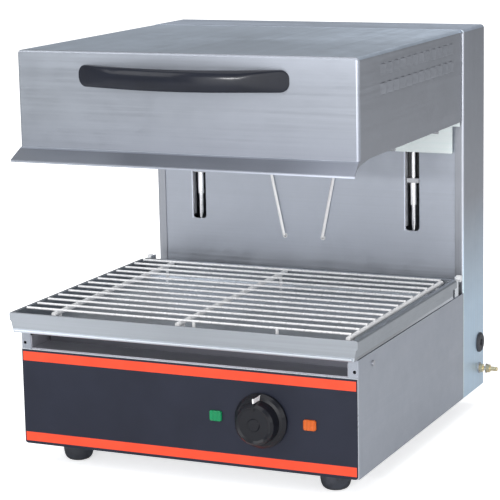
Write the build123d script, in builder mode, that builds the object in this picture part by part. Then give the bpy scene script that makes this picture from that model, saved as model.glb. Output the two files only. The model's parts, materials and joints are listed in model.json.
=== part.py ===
from build123d import *
import os

os.makedirs("parts", exist_ok=True)

# Whole object, mm. X to the right, Y to the back, Z up from the floor.
WIDTH = 450.0
DEPTH = 474.0
FOOT_H = 29.0
SHEET = 1.2
BEND_R = 5.0
CORNER_R = 2.5
SEAM = 0.4
HALF_W = WIDTH / 2
FRONT_Y = -DEPTH / 2
REAR_Y = DEPTH / 2
INNER_W = HALF_W - SHEET

# Base housing
PANEL_H = 122.0
SIDE_H = 144.0
BASE_Z = FOOT_H
PANEL_TOP = BASE_Z + PANEL_H
SIDE_TOP = BASE_Z + SIDE_H
FASCIA_T = 0.6
FASCIA_MARGIN = 0.8
PANEL_Y = FRONT_Y + FASCIA_T
SHELL_Y = PANEL_Y + SHEET
POST_W = 13.0
POST_HOLE_D = 4.0
POST_HOLE_IN = 5.0
POST_HOLE_DOWN = 14.6
PANEL_RETURN = 22.0
PANEL_RETURN_X = HALF_W - POST_W - 0.5
TOP_FLANGE_X = HALF_W - 14.0
DECK_Z = PANEL_TOP
DECK_WEB = 12.0
SIDE_SCREW_Y = FRONT_Y + 48.0
SIDE_SCREW_Z = SIDE_TOP - 14.0

# Controls
CONTROL_Z = BASE_Z + 61.0
KNOB_X = 102.0
LAMP_X = (42.0, 164.0)
KNOB_R = 33.5
KNOB_GRIP_R = 25.0
KNOB_DEPTH = 25.0
KNOB_GAP = 0.6
SHAFT_D = 6.0
SHAFT_HOLE_D = 9.0
LAMP_W = 16.0
LAMP_H = 13.0
LAMP_HOLE_D = 11.0
REGULATOR_HALF = 19.0
REGULATOR_RISE = 22.0
REGULATOR_DEPTH = 36.0

# Tower
TOWER_DEPTH = 86.0
TOWER_Y = REAR_Y - TOWER_DEPTH
TOWER_TOP = BASE_Z + 493.0
TOWER_FLANGE = 12.0
TOWER_PANEL_Y = TOWER_Y + SHEET
TOWER_INNER_Y = TOWER_PANEL_Y + SHEET
LIFT_X = -4.0
SLOT_X = 157.0
SLOT_W = 20.0
SLOT_Z0 = BASE_Z + 224.0
SLOT_Z1 = TOWER_TOP - 27.0
SLOT_FLANGE = 10.0
REAR_FLANGE = 12.0
REAR_SCREW_IN = 7.0
REAR_SCREW_COUNT = 4
REAR_SCREW_LOW = BASE_Z + 34.0
REAR_SCREW_HIGH = TOWER_TOP - 24.0
REAR_SLOT_PITCH_X = 120.0
REAR_SLOT_HALF = 45.0
REAR_SLOT_H = 5.0
REAR_SLOT_PITCH = 12.0
REAR_SLOT_ROWS = 5
REAR_SLOT_LOW = BASE_Z + 24.0
REAR_SLOT_HIGH = TOWER_TOP - 40.0

# Tray compartment
TRAY_HALF = TOP_FLANGE_X - 1.5
TRAY_Y0 = FRONT_Y + 42.0
TRAY_Y1 = TOWER_Y - 33.0
TRAY_H = 13.5
TRAY_T = 1.0
TRAY_GRIP_HALF = 60.0
TRAY_GRIP_OUT = 5.0
TRAY_GRIP_DROP = 4.0
RUNNER_H = 15.6
RUNNER_W = 11.0
RUNNER_END = 8.0

# Grill pan and rack
GLIDE_T = 2.0
GLIDE_W = 8.0
PAN_Z = SIDE_TOP + GLIDE_T
PAN_TOP = PAN_Z + 25.0
PAN_HALF = HALF_W + 1.0
PAN_LIP = 5.0
PAN_LIP_H = 10.0
PAN_Y0 = FRONT_Y - 15.0
PAN_Y1 = TOWER_Y - 46.0
HEM_D = 4.4
RACK_TOP = PAN_TOP + 3.0
WIRE_D = 3.0
WIRE_PITCH = 26.5
WIRE_X0 = -PAN_HALF + 6.0
WIRE_X1 = PAN_HALF - 12.5
WIRE_Y0 = FRONT_Y + 10.0
WIRE_COUNT = int((PAN_Y1 - WIRE_Y0 - 8) / WIRE_PITCH) + 1
BAR_D = 6.0
BAR_OVER = 7.0
BAR_X = (WIRE_X0 + 41.5, -8.5, WIRE_X1 - 1.5)
LEG_D = 4.0
LEG_IN = 10.0
PIN_X = (10.5, 119.5)
WELD = 0.05
STOP_Y = TOWER_Y - 25.0
STOP_HALF = 7.0
STOP_T = 2.0
STOP_FOOT = 8.0
STOP_H = 28.0
ROLLER_D = 9.0
ROLLER_L = 6.0

# Lift gear
TRAVEL = 110.0
ROD_D = 6.0
ROD_Y = TOWER_INNER_Y + 5.6
BUSH_D = 9.0
BUSH_CLEAR = 0.1
BUSH_LOW_L = 30.0
BUSH_HIGH_L = 16.0
BUSH_STEP = 1.4
MEMBER_HALF = INNER_W - 24.0
LOWER_MEMBER_Z = BASE_Z + 134.0
LOWER_MEMBER_DEPTH = 22.6
UPPER_MEMBER_Z = TOWER_TOP - 24.0
UPPER_MEMBER_DEPTH = 38.6
MEMBER_T = 2.5
ROD_OVER = 3.0
LUG_T = 6.0
LUG_LOW_Z = BASE_Z + 288.5
LUG_HIGH_Z = BASE_Z + 439.0
LUG_HALF = 8.5
LUG_FRONT_Y = TOWER_INNER_Y + 1.2
CARRIAGE_Y = TOWER_INNER_Y + SLOT_FLANGE + 1.2
CARRIAGE_T = 3.0
CARRIAGE_Z0 = BASE_Z + 284.0
CARRIAGE_Z1 = BASE_Z + 454.0
CARRIAGE_HALF = SLOT_X + LUG_HALF
CARRIAGE_RIM = 30.0
ARM_X = SLOT_X - LUG_HALF + 0.3
ARM_T = 3.0
ARM_Z0 = BASE_Z + 340.0
ARM_SLOPE = 26.0
SPRING_X = 110.0
SPRING_Y = TOWER_INNER_Y + 28.6
SPRING_D = 14.0
SPRING_HOOK_D = 3.0
SPRING_HOOK_L = 10.0
TAB_Z = BASE_Z + 304.0
TAB_HALF = 9.0

# Head
HEAD_HALF = HALF_W - 2.5
HEAD_Y0 = FRONT_Y + 15.7
HEAD_Y1 = TOWER_Y - 3.0
HEAD_Z0 = BASE_Z + 373.0
HEAD_Z1 = TOWER_TOP
FRONT_RETURN = 6.0
FRONT_TAB = 16.0
COVER_FLANGE = 12.0
LIP_OUT = 20.8
LIP_DROP = 12.4
LIP_WIDEN = 3.0
LIP_HEM = 3.0
HEAD_REAR_Y = HEAD_Y1 - 1.0
SHIELD_HALF = HEAD_HALF - 11.5
SHIELD_Z = BASE_Z + 331.0
VENT_Y0 = HEAD_Y0 + 71.3
VENT_PITCH = 22.4
VENT_COUNT = 12
VENT_H = 13.0
VENT_L = 15.0
VENT_OUT = 2.6
VENT_Z = (HEAD_Z1 - 21.0, HEAD_Z1 - 43.5)
REFL_T = 0.8
REFL_Z = HEAD_Z0 + 41.0
REFL_HALF = HEAD_HALF - 26.5
REFL_Y0 = HEAD_Y0 + 16.3
REFL_Y1 = HEAD_REAR_Y - 22.0
REFL_SPREAD = 13.0
ELEMENT_D = 8.0
ELEMENT_Z = HEAD_Z0 + 15.0
ELEMENT_PITCH = 80.0
ELEMENT_COUNT = 4
ELEMENT_GAP = 34.0
ELEMENT_X = REFL_HALF - 18.0
ELEMENT_END = REFL_HALF + 14.0
ELEMENT_BUSH_IN = 2.5
ELEMENT_BUSH_OUT = 8.5
ELEMENT_BUSH_WALL = 2.0
HANGER_X = (-110.0, 60.0)
HANGER_T = 1.6
HANGER_H = 16.0
HANGER_OVER = 32.0
PAD_T = 30.0
PAD_MARGIN = 6.0
HANDLE_Z = HEAD_Z1 - 29.0
HANDLE_HALF = 138.0
HANDLE_H = 26.0
HANDLE_OUT = 36.0
HANDLE_T = 14.0
HANDLE_PAD = 34.0
HANDLE_END_R = 10.0
HANDLE_EDGE_R = 4.5
HANDLE_SCREW_X = 118.0
HANDLE_SCREW_D = 4.0
HANDLE_SCREW_L = 6.5

# Element leads
LEAD_D = 4.6
LEAD_Y = TOWER_PANEL_Y - LEAD_D / 2 - 0.2
LEAD_LOW_X = 28.0
LEAD_LOW_Z = BASE_Z + 207.0
LEAD_HIGH_X = 65.0
LEAD_HIGH_Z = BASE_Z + 384.0
BUSHING_D = 10.0
GLAND_D = 11.0
COLLAR = 1.5

# Supply side
INLET_Y = REAR_Y - 18.0
INLET_Z = BASE_Z + 62.0
INLET_D = 27.0
INLET_HOLE_D = 20.0
INLET_BORE_D = 9.0
STUD_Z = BASE_Z + 26.0
STUD_D = 6.0
STUD_CORE_D = 5.0
STUD_TIP = HALF_W + 26.0
STUD_HEAD = 5.0
STUD_RELIEF = 0.8
NUT_R = 5.8
NUT_H = 4.6
WASHER_T = 1.2
TERMINAL_X = 90.0
TERMINAL_PITCH = 12.0
TERMINAL_COUNT = 5
TERMINAL_Y0 = REAR_Y - 47.0
TERMINAL_Y1 = REAR_Y - 25.0

# Fixings
SCREW_D = 3.5
SCREW_HEAD_D = 7.0
SCREW_HEAD_H = 2.0
SCREW_L = 6.0
FOOT_X = HALF_W - 49.0
FOOT_Y = REAR_Y - 49.5
FOOT_D = 40.0
FOOT_TAPER = 0.7
FOOT_ROUND = 8.0
FOOT_BOLT_D = 6.0
FOOT_BOLT_L = 11.0
FOOT_NUT_D = 11.0


def rear_screw_z():
    step = (REAR_SCREW_HIGH - REAR_SCREW_LOW) / (REAR_SCREW_COUNT - 1)
    return [REAR_SCREW_LOW + step * i for i in range(REAR_SCREW_COUNT)]


def element_y():
    middle = (REFL_Y0 + REFL_Y1) / 2
    return [middle + ELEMENT_PITCH * (i - (ELEMENT_COUNT - 1) / 2) for i in range(ELEMENT_COUNT)]


def block(x0, x1, y0, y1, z0, z1, mode=Mode.ADD):
    with BuildSketch(Plane.XY.offset(z0)) as face:
        with Locations(((x0 + x1) / 2, (y0 + y1) / 2)):
            Rectangle(abs(x1 - x0), abs(y1 - y0))
    extrude(face.sketch, amount=z1 - z0, mode=mode)


def upright(x0, x1, z0, z1, y0, y1, top_r=0.0, low_r=0.0, mode=Mode.ADD):
    """A plate facing the front, with rounded top and bottom corners."""
    with BuildSketch(Plane.XZ.offset(-y1)) as face:
        with Locations(((x0 + x1) / 2, (z0 + z1) / 2)):
            Rectangle(abs(x1 - x0), z1 - z0)
        corners = face.vertices().sort_by(Axis.Y)
        if low_r:
            fillet(corners[:2], low_r)
        if top_r:
            fillet(face.vertices().sort_by(Axis.Y)[-2:], top_r)
    extrude(face.sketch, amount=y1 - y0, mode=mode)


def rod_z(x, y, z0, z1, d, mode=Mode.ADD):
    with BuildSketch(Plane.XY.offset(z0)) as face:
        with Locations((x, y)):
            Circle(d / 2)
    extrude(face.sketch, amount=z1 - z0, mode=mode)


def rod_y(x, z, y0, y1, d, mode=Mode.ADD):
    with BuildSketch(Plane.XZ.offset(-y1)) as face:
        with Locations((x, z)):
            Circle(d / 2)
    extrude(face.sketch, amount=y1 - y0, mode=mode)


def rod_x(y, z, x0, x1, d, mode=Mode.ADD):
    with BuildSketch(Plane.YZ.offset(x0)) as face:
        with Locations((y, z)):
            Circle(d / 2)
    extrude(face.sketch, amount=x1 - x0, mode=mode)


def profile_x(points, x0, x1, mode=Mode.ADD):
    """A Y-Z outline drawn out along X."""
    with BuildSketch(Plane.YZ.offset(x0)) as face:
        with BuildLine():
            Polyline(*points, close=True)
        make_face()
    extrude(face.sketch, amount=x1 - x0, mode=mode)


def profile_y(points, y0, y1, mode=Mode.ADD):
    """An X-Z outline drawn out along Y."""
    with BuildSketch(Plane.XZ.offset(-y1)) as face:
        with BuildLine():
            Polyline(*points, close=True)
        make_face()
    extrude(face.sketch, amount=y1 - y0, mode=mode)


def turned(origin, direction, profile, mode=Mode.ADD):
    """A turned piece: (radius, distance along the axis) points round an axis."""
    radial = Vector(1, 0, 0) if direction[2] else Vector(0, 0, 1)
    axis_plane = Plane(origin=origin, x_dir=radial, z_dir=radial.cross(Vector(*direction)))
    with BuildSketch(axis_plane) as face:
        with BuildLine():
            Polyline(*profile, close=True)
        make_face()
    revolve(face.sketch, axis=Axis(origin, direction), mode=mode)


def hood(half, z0, z1, y0, y1, radius):
    """A sheet bent over the top with rounded shoulders, open below."""
    with BuildSketch(Plane.XZ.offset(-y1)) as face:
        with Locations((0, (z0 + z1) / 2)):
            Rectangle(2 * half, z1 - z0)
        fillet(face.vertices().sort_by(Axis.Y)[-2:], radius)
    extrude(face.sketch, amount=y1 - y0)
    with BuildSketch(Plane.XZ.offset(-y1)) as hollow:
        with Locations((0, (z0 + z1 - SHEET) / 2)):
            Rectangle(2 * (half - SHEET), z1 - SHEET - z0)
        fillet(hollow.vertices().sort_by(Axis.Y)[-2:], radius - SHEET)
    extrude(hollow.sketch, amount=y1 - y0, mode=Mode.SUBTRACT)


def save(piece, name):
    piece.part.label = name
    export_step(piece.part, "parts/" + name + ".step")


# ---------------------------------------------------------------- base housing
with BuildPart() as base_body:
    block(-HALF_W, HALF_W, SHELL_Y, TOWER_Y, BASE_Z, BASE_Z + SHEET)
    block(-INNER_W, INNER_W, TOWER_Y - 1, REAR_Y - SHEET, BASE_Z, BASE_Z + SHEET)
    for side in (-1, 1):
        block(side * INNER_W, side * HALF_W, SHELL_Y, TOWER_Y, BASE_Z, SIDE_TOP)
        block(side * (HALF_W - POST_W), side * HALF_W, SHELL_Y, SHELL_Y + SHEET, BASE_Z, SIDE_TOP)
        block(side * TOP_FLANGE_X, side * HALF_W, SHELL_Y, TRAY_Y1, SIDE_TOP - SHEET, SIDE_TOP)
    front_bends = base_body.edges().filter_by(Axis.Z).group_by(Axis.Y)[0]
    fillet([e for e in front_bends if abs(e.center().X) > HALF_W - 0.1], 1.0)
    for side in (-1, 1):
        rod_y(side * (HALF_W - POST_HOLE_IN), SIDE_TOP - POST_HOLE_DOWN, SHELL_Y - 1, SHELL_Y + 2, POST_HOLE_D,
              Mode.SUBTRACT)
        rod_x(SIDE_SCREW_Y, SIDE_SCREW_Z, side * HALF_W - 3, side * HALF_W + 3, SCREW_D, Mode.SUBTRACT)
    for x in (-FOOT_X, FOOT_X):
        for y in (-FOOT_Y, FOOT_Y):
            rod_z(x, y, BASE_Z - 1, BASE_Z + 3, FOOT_BOLT_D, Mode.SUBTRACT)
save(base_body, "base_body")

with BuildPart() as front_panel:
    upright(-HALF_W + 0.6, HALF_W - 0.6, BASE_Z, PANEL_TOP, PANEL_Y, SHELL_Y, low_r=3)
    block(-PANEL_RETURN_X, PANEL_RETURN_X, PANEL_Y, PANEL_Y + PANEL_RETURN, PANEL_TOP - SHEET, PANEL_TOP)
    rod_y(KNOB_X, CONTROL_Z, PANEL_Y - 1, SHELL_Y + 1, SHAFT_HOLE_D, Mode.SUBTRACT)
    for x in LAMP_X:
        rod_y(x, CONTROL_Z, PANEL_Y - 1, SHELL_Y + 1, LAMP_HOLE_D, Mode.SUBTRACT)
save(front_panel, "front_panel")

with BuildPart() as control_fascia:
    upright(-HALF_W + 1, HALF_W - 1, BASE_Z, PANEL_TOP - FASCIA_MARGIN, FRONT_Y, PANEL_Y, low_r=4)
    rod_y(KNOB_X, CONTROL_Z, FRONT_Y - 1, PANEL_Y + 1, SHAFT_HOLE_D, Mode.SUBTRACT)
    for x in LAMP_X:
        rod_y(x, CONTROL_Z, FRONT_Y - 1, PANEL_Y + 1, LAMP_HOLE_D, Mode.SUBTRACT)
save(control_fascia, "control_fascia")

with BuildPart() as tray_deck:
    block(-INNER_W, INNER_W, SHELL_Y + SHEET, TOWER_Y, DECK_Z, DECK_Z + SHEET)
    for side in (-1, 1):
        block(side * (INNER_W - SHEET), side * INNER_W, FRONT_Y + 32, TOWER_Y, DECK_Z - DECK_WEB, DECK_Z)
save(tray_deck, "tray_deck")

with BuildPart() as tray_runners:
    z0 = DECK_Z + SHEET
    y0 = SHELL_Y + SHEET
    y1 = TRAY_Y1 + RUNNER_END
    for side in (-1, 1):
        x0 = side * TOP_FLANGE_X
        block(x0, x0 + side * SHEET, y0, y1, z0, z0 + RUNNER_H)
        block(x0, x0 + side * RUNNER_W, y0, y1, z0, z0 + SHEET)
        block(x0 - side * RUNNER_W, x0, y1 - RUNNER_END / 2, y1, z0, z0 + SHEET + 3)
save(tray_runners, "tray_runners")

with BuildPart() as drip_tray:
    z1 = z0 + TRAY_H
    block(-TRAY_HALF, TRAY_HALF, TRAY_Y0, TRAY_Y1, z0, z1)
    fillet(drip_tray.edges().filter_by(Axis.Z), 4)
    block(-TRAY_HALF + TRAY_T, TRAY_HALF - TRAY_T, TRAY_Y0 + TRAY_T, TRAY_Y1 - TRAY_T,
          z0 + TRAY_T, z1, Mode.SUBTRACT)
    block(-TRAY_GRIP_HALF, TRAY_GRIP_HALF, TRAY_Y0 - TRAY_GRIP_OUT, TRAY_Y0 + 0.5, z1 - TRAY_T, z1)
    block(-TRAY_GRIP_HALF, TRAY_GRIP_HALF, TRAY_Y0 - TRAY_GRIP_OUT, TRAY_Y0 - TRAY_GRIP_OUT + TRAY_T,
          z1 - TRAY_GRIP_DROP, z1)
save(drip_tray, "drip_tray")

with BuildPart() as pan_glides:
    for side in (-1, 1):
        x0 = side * (TOP_FLANGE_X + 2)
        block(x0, x0 + side * GLIDE_W, FRONT_Y + 6, PAN_Y1 - 5, SIDE_TOP, PAN_Z)
save(pan_glides, "pan_glides")

# ------------------------------------------------------------ grill pan and rack
with BuildPart() as grill_pan:
    x_in = PAN_HALF - SHEET
    lip_x = PAN_HALF + PAN_LIP
    lip_z = PAN_TOP - PAN_LIP_H
    block(-PAN_HALF, PAN_HALF, PAN_Y0, PAN_Y1, PAN_Z, PAN_Z + SHEET)
    for side in (-1, 1):
        side_section = (
            (side * PAN_HALF, PAN_Z),
            (side * PAN_HALF, lip_z - 3),
            (side * lip_x, lip_z),
            (side * lip_x, PAN_TOP - 1.5),
            (side * (lip_x - 1.5), PAN_TOP),
            (side * x_in, PAN_TOP),
            (side * x_in, PAN_Z),
        )
        profile_y(side_section, PAN_Y0, PAN_Y1)
        trough = (
            (side * (PAN_HALF + 0.2), lip_z - 1),
            (side * (lip_x - SHEET), lip_z + 1),
            (side * (lip_x - SHEET), PAN_TOP - SHEET),
            (side * (PAN_HALF + 0.2), PAN_TOP - SHEET),
        )
        profile_y(trough, PAN_Y0 + SHEET, PAN_Y1 + 1, Mode.SUBTRACT)
    apron = (
        (-PAN_HALF, PAN_Z),
        (PAN_HALF, PAN_Z),
        (lip_x, PAN_TOP - 1.5),
        (lip_x - 1.5, PAN_TOP),
        (-lip_x + 1.5, PAN_TOP),
        (-lip_x, PAN_TOP - 1.5),
    )
    profile_y(apron, PAN_Y0, PAN_Y0 + SHEET)
    block(-PAN_HALF, PAN_HALF, PAN_Y1 - SHEET, PAN_Y1, PAN_Z, PAN_TOP)
    block(-PAN_HALF, PAN_HALF, PAN_Y1 - SHEET, PAN_Y1 + 6, PAN_TOP - SHEET, PAN_TOP)
    rod_x(PAN_Y0, PAN_Z + HEM_D / 2, -PAN_HALF + 2, PAN_HALF - 2, HEM_D)
save(grill_pan, "grill_pan")

wire_z = RACK_TOP - WIRE_D / 2
wire_y_end = WIRE_Y0 + WIRE_PITCH * (WIRE_COUNT - 1)
bar_z = wire_z - WIRE_D / 2 - BAR_D / 2 + WELD
with BuildPart() as wire_rack:
    for i in range(WIRE_COUNT):
        rod_x(WIRE_Y0 + i * WIRE_PITCH, wire_z, WIRE_X0, WIRE_X1, WIRE_D)
save(wire_rack, "wire_rack")

with BuildPart() as rack_bars:
    for x in BAR_X:
        rod_y(x, bar_z, WIRE_Y0 - BAR_OVER, wire_y_end + BAR_OVER, BAR_D)
save(rack_bars, "rack_bars")

with BuildPart() as rack_legs:
    for x in BAR_X:
        for y in (WIRE_Y0 + LEG_IN, wire_y_end - LEG_IN):
            rod_z(x, y, PAN_Z + SHEET, bar_z - BAR_D / 2 + WELD, LEG_D)
    for x in PIN_X:
        rod_z(x, WIRE_Y0, PAN_Z + SHEET, wire_z - WIRE_D / 2 + WELD, LEG_D)
save(rack_legs, "rack_legs")

with BuildPart() as pan_stops:
    for side in (-1, 1):
        outer = side * INNER_W
        block(outer - side * STOP_T, outer, STOP_Y - STOP_HALF, STOP_Y + STOP_HALF, DECK_Z + 2 * SHEET,
              SIDE_TOP + STOP_H)
        block(outer - side * STOP_FOOT, outer, STOP_Y - STOP_HALF, STOP_Y - STOP_HALF + STOP_T,
              DECK_Z + 2 * SHEET, SIDE_TOP - STOP_T)
save(pan_stops, "pan_stops")

with BuildPart() as stop_rollers:
    for side in (-1, 1):
        middle = side * (INNER_W + ROLLER_L / 2)
        rod_x(STOP_Y, SIDE_TOP + STOP_H - 3, middle - ROLLER_L / 2, middle + ROLLER_L / 2, ROLLER_D)
save(stop_rollers, "stop_rollers")

# ------------------------------------------------------------------------- tower
with BuildPart() as tower_cover:
    hood(HALF_W, BASE_Z, TOWER_TOP, TOWER_Y, REAR_Y, BEND_R)
    for side in (-1, 1):
        for y0, width in ((TOWER_Y, TOWER_FLANGE), (REAR_Y - 2 * SHEET, REAR_FLANGE)):
            block(side * (HALF_W - width), side * (INNER_W + 0.2), y0, y0 + SHEET, BASE_Z + SHEET,
                  TOWER_TOP - BEND_R)
        x0 = side * HALF_W
        with BuildSketch(Plane.XY.offset(BASE_Z - 1)) as corner:
            with Locations((x0 - side * CORNER_R / 2, TOWER_Y + CORNER_R / 2)):
                Rectangle(CORNER_R, CORNER_R)
            with Locations((x0 - side * CORNER_R, TOWER_Y + CORNER_R)):
                Circle(CORNER_R, mode=Mode.SUBTRACT)
        extrude(corner.sketch, amount=TOWER_TOP - BEND_R - BASE_Z + 1, mode=Mode.SUBTRACT)
    for y0 in (TOWER_Y, REAR_Y - 2 * SHEET):
        upright(-HALF_W + BEND_R, HALF_W - BEND_R, TOWER_TOP - TOWER_FLANGE, TOWER_TOP - SHEET / 2, y0, y0 + SHEET)
    rod_x(INLET_Y, INLET_Z, INNER_W - 1, HALF_W + 1, INLET_HOLE_D, Mode.SUBTRACT)
    rod_x(INLET_Y, STUD_Z, INNER_W - 1, HALF_W + 1, STUD_CORE_D, Mode.SUBTRACT)
    for side in (-1, 1):
        for z in rear_screw_z():
            rod_y(side * (HALF_W - REAR_SCREW_IN), z, REAR_Y - 3, REAR_Y + 1, SCREW_D, Mode.SUBTRACT)
save(tower_cover, "tower_cover")

with BuildPart() as tower_front_panel:
    upright(-INNER_W, INNER_W, DECK_Z + SHEET, TOWER_TOP - SHEET, TOWER_PANEL_Y, TOWER_INNER_Y, top_r=4)
    for side in (-1, 1):
        x = LIFT_X + side * SLOT_X
        upright(x - SLOT_W / 2, x + SLOT_W / 2, SLOT_Z0, SLOT_Z1, TOWER_PANEL_Y - 1, TOWER_INNER_Y + 1,
                low_r=5, mode=Mode.SUBTRACT)
        for edge in (-1, 1):
            x_near = x + edge * SLOT_W / 2
            block(x_near, x_near + edge * SHEET, TOWER_PANEL_Y + 0.2, TOWER_INNER_Y + SLOT_FLANGE,
                  SLOT_Z0 + BEND_R, SLOT_Z1)
        rod_y(LIFT_X + side * LEAD_LOW_X, LEAD_LOW_Z, TOWER_PANEL_Y - 1, TOWER_INNER_Y + 1,
              BUSHING_D - 2 * COLLAR, Mode.SUBTRACT)
save(tower_front_panel, "tower_front_panel")

with BuildPart() as rear_cover:
    upright(-INNER_W + 0.2, INNER_W - 0.2, BASE_Z + SHEET, TOWER_TOP - SHEET - 0.2, REAR_Y - SHEET, REAR_Y, top_r=4)
    for column in (-1, 0, 1):
        x = column * REAR_SLOT_PITCH_X
        for row in range(REAR_SLOT_ROWS):
            for z in (REAR_SLOT_HIGH - REAR_SLOT_PITCH * row, REAR_SLOT_LOW + REAR_SLOT_PITCH * row):
                upright(x - REAR_SLOT_HALF, x + REAR_SLOT_HALF, z - REAR_SLOT_H / 2, z + REAR_SLOT_H / 2,
                        REAR_Y - 3, REAR_Y + 1, mode=Mode.SUBTRACT)
    for side in (-1, 1):
        for z in rear_screw_z():
            rod_y(side * (HALF_W - REAR_SCREW_IN), z, REAR_Y - 3, REAR_Y + 1, SCREW_D, Mode.SUBTRACT)
save(rear_cover, "rear_cover")

with BuildPart() as rear_screws:
    for side in (-1, 1):
        for z in rear_screw_z():
            rod_y(side * (HALF_W - REAR_SCREW_IN), z, REAR_Y - SCREW_L, REAR_Y, SCREW_D)
            rod_y(side * (HALF_W - REAR_SCREW_IN), z, REAR_Y, REAR_Y + SCREW_HEAD_H, SCREW_HEAD_D)
save(rear_screws, "rear_screws")

with BuildPart() as base_side_screws:
    for side in (-1, 1):
        x = side * HALF_W
        shank = sorted((x, x - side * SCREW_L))
        cap = sorted((x, x + side * SCREW_HEAD_H))
        rod_x(SIDE_SCREW_Y, SIDE_SCREW_Z, shank[0], shank[1], SCREW_D)
        rod_x(SIDE_SCREW_Y, SIDE_SCREW_Z, cap[0], cap[1], SCREW_HEAD_D)
save(base_side_screws, "base_side_screws")

# --------------------------------------------------------------------- lift gear
with BuildPart() as lower_crossmember:
    z1 = LOWER_MEMBER_Z + MEMBER_T
    block(-MEMBER_HALF, MEMBER_HALF, TOWER_INNER_Y, TOWER_INNER_Y + LOWER_MEMBER_DEPTH, LOWER_MEMBER_Z, z1)
    block(-MEMBER_HALF, MEMBER_HALF, TOWER_INNER_Y, TOWER_INNER_Y + MEMBER_T, DECK_Z + SHEET, z1)
    for side in (-1, 1):
        rod_z(LIFT_X + side * SLOT_X, ROD_Y, LOWER_MEMBER_Z - 1, LOWER_MEMBER_Z + 4, ROD_D, Mode.SUBTRACT)
save(lower_crossmember, "lower_crossmember")

with BuildPart() as upper_crossmember:
    block(-MEMBER_HALF, MEMBER_HALF, TOWER_INNER_Y, TOWER_INNER_Y + UPPER_MEMBER_DEPTH,
          UPPER_MEMBER_Z, UPPER_MEMBER_Z + MEMBER_T)
    block(-MEMBER_HALF, MEMBER_HALF, TOWER_INNER_Y, TOWER_INNER_Y + MEMBER_T, UPPER_MEMBER_Z, TOWER_TOP - 6)
    for side in (-1, 1):
        rod_z(LIFT_X + side * SLOT_X, ROD_Y, UPPER_MEMBER_Z - 1, UPPER_MEMBER_Z + 4, ROD_D, Mode.SUBTRACT)
save(upper_crossmember, "upper_crossmember")

with BuildPart() as guide_shafts:
    for side in (-1, 1):
        rod_z(LIFT_X + side * SLOT_X, ROD_Y, LOWER_MEMBER_Z - ROD_OVER, UPPER_MEMBER_Z + MEMBER_T + ROD_OVER, ROD_D)
save(guide_shafts, "guide_shafts")

with BuildPart() as carriage_plate:
    upright(LIFT_X - CARRIAGE_HALF, LIFT_X + CARRIAGE_HALF, CARRIAGE_Z0, CARRIAGE_Z1,
            CARRIAGE_Y, CARRIAGE_Y + CARRIAGE_T)
    window = SPRING_X - TAB_HALF - 6
    upright(LIFT_X - window, LIFT_X + window, CARRIAGE_Z0 + CARRIAGE_RIM, CARRIAGE_Z1 - CARRIAGE_RIM,
            CARRIAGE_Y - 1, CARRIAGE_Y + CARRIAGE_T + 1, 12, 12, Mode.SUBTRACT)
    for side in (-1, 1):
        x = LIFT_X + side * SLOT_X
        for z in (LUG_LOW_Z, LUG_HIGH_Z):
            block(x - LUG_HALF, x + LUG_HALF, LUG_FRONT_Y, CARRIAGE_Y, z, z + LUG_T)
            rod_z(x, ROD_Y, z - 1, z + LUG_T + 1, BUSH_D - BUSH_STEP, Mode.SUBTRACT)
        x = LIFT_X + side * SPRING_X
        block(x - TAB_HALF, x + TAB_HALF, CARRIAGE_Y, SPRING_Y + TAB_HALF, TAB_Z, TAB_Z + CARRIAGE_T)
save(carriage_plate, "carriage_plate")

with BuildPart() as carriage_bushes:
    bore = ROD_D + 2 * BUSH_CLEAR
    for side in (-1, 1):
        x = LIFT_X + side * SLOT_X
        rod_z(x, ROD_Y, LUG_LOW_Z - BUSH_LOW_L, LUG_LOW_Z, BUSH_D)
        rod_z(x, ROD_Y, LUG_LOW_Z, LUG_LOW_Z + LUG_T, BUSH_D - BUSH_STEP)
        rod_z(x, ROD_Y, LUG_HIGH_Z, LUG_HIGH_Z + LUG_T, BUSH_D - BUSH_STEP)
        rod_z(x, ROD_Y, LUG_HIGH_Z + LUG_T, LUG_HIGH_Z + LUG_T + BUSH_HIGH_L, BUSH_D)
        rod_z(x, ROD_Y, LUG_LOW_Z - BUSH_LOW_L - 1, LUG_HIGH_Z + LUG_T + BUSH_HIGH_L + 1, bore, Mode.SUBTRACT)
save(carriage_bushes, "carriage_bushes")

with BuildPart() as head_arms:
    for side in (-1, 1):
        x0 = LIFT_X + side * ARM_X
        x1 = x0 + side * ARM_T
        arm = (
            (HEAD_REAR_Y, ARM_Z0 + ARM_SLOPE),
            (CARRIAGE_Y, ARM_Z0),
            (CARRIAGE_Y, CARRIAGE_Z1),
            (HEAD_REAR_Y, CARRIAGE_Z1),
        )
        profile_x(arm, min(x0, x1), max(x0, x1))
        for z in (LUG_LOW_Z, LUG_HIGH_Z):
            block(x0, x1, LUG_FRONT_Y, CARRIAGE_Y, z, z + LUG_T, Mode.SUBTRACT)
save(head_arms, "head_arms")

with BuildPart() as counterbalance_springs:
    low = TAB_Z + CARRIAGE_T
    for side in (-1, 1):
        x = LIFT_X + side * SPRING_X
        rod_z(x, SPRING_Y, low, UPPER_MEMBER_Z, SPRING_HOOK_D)
        rod_z(x, SPRING_Y, low + SPRING_HOOK_L, UPPER_MEMBER_Z - SPRING_HOOK_L, SPRING_D)
        rod_z(x, SPRING_Y, low + SPRING_HOOK_L + 4, UPPER_MEMBER_Z - SPRING_HOOK_L - 4, SPRING_D - 4, Mode.SUBTRACT)
save(counterbalance_springs, "counterbalance_springs")

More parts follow.
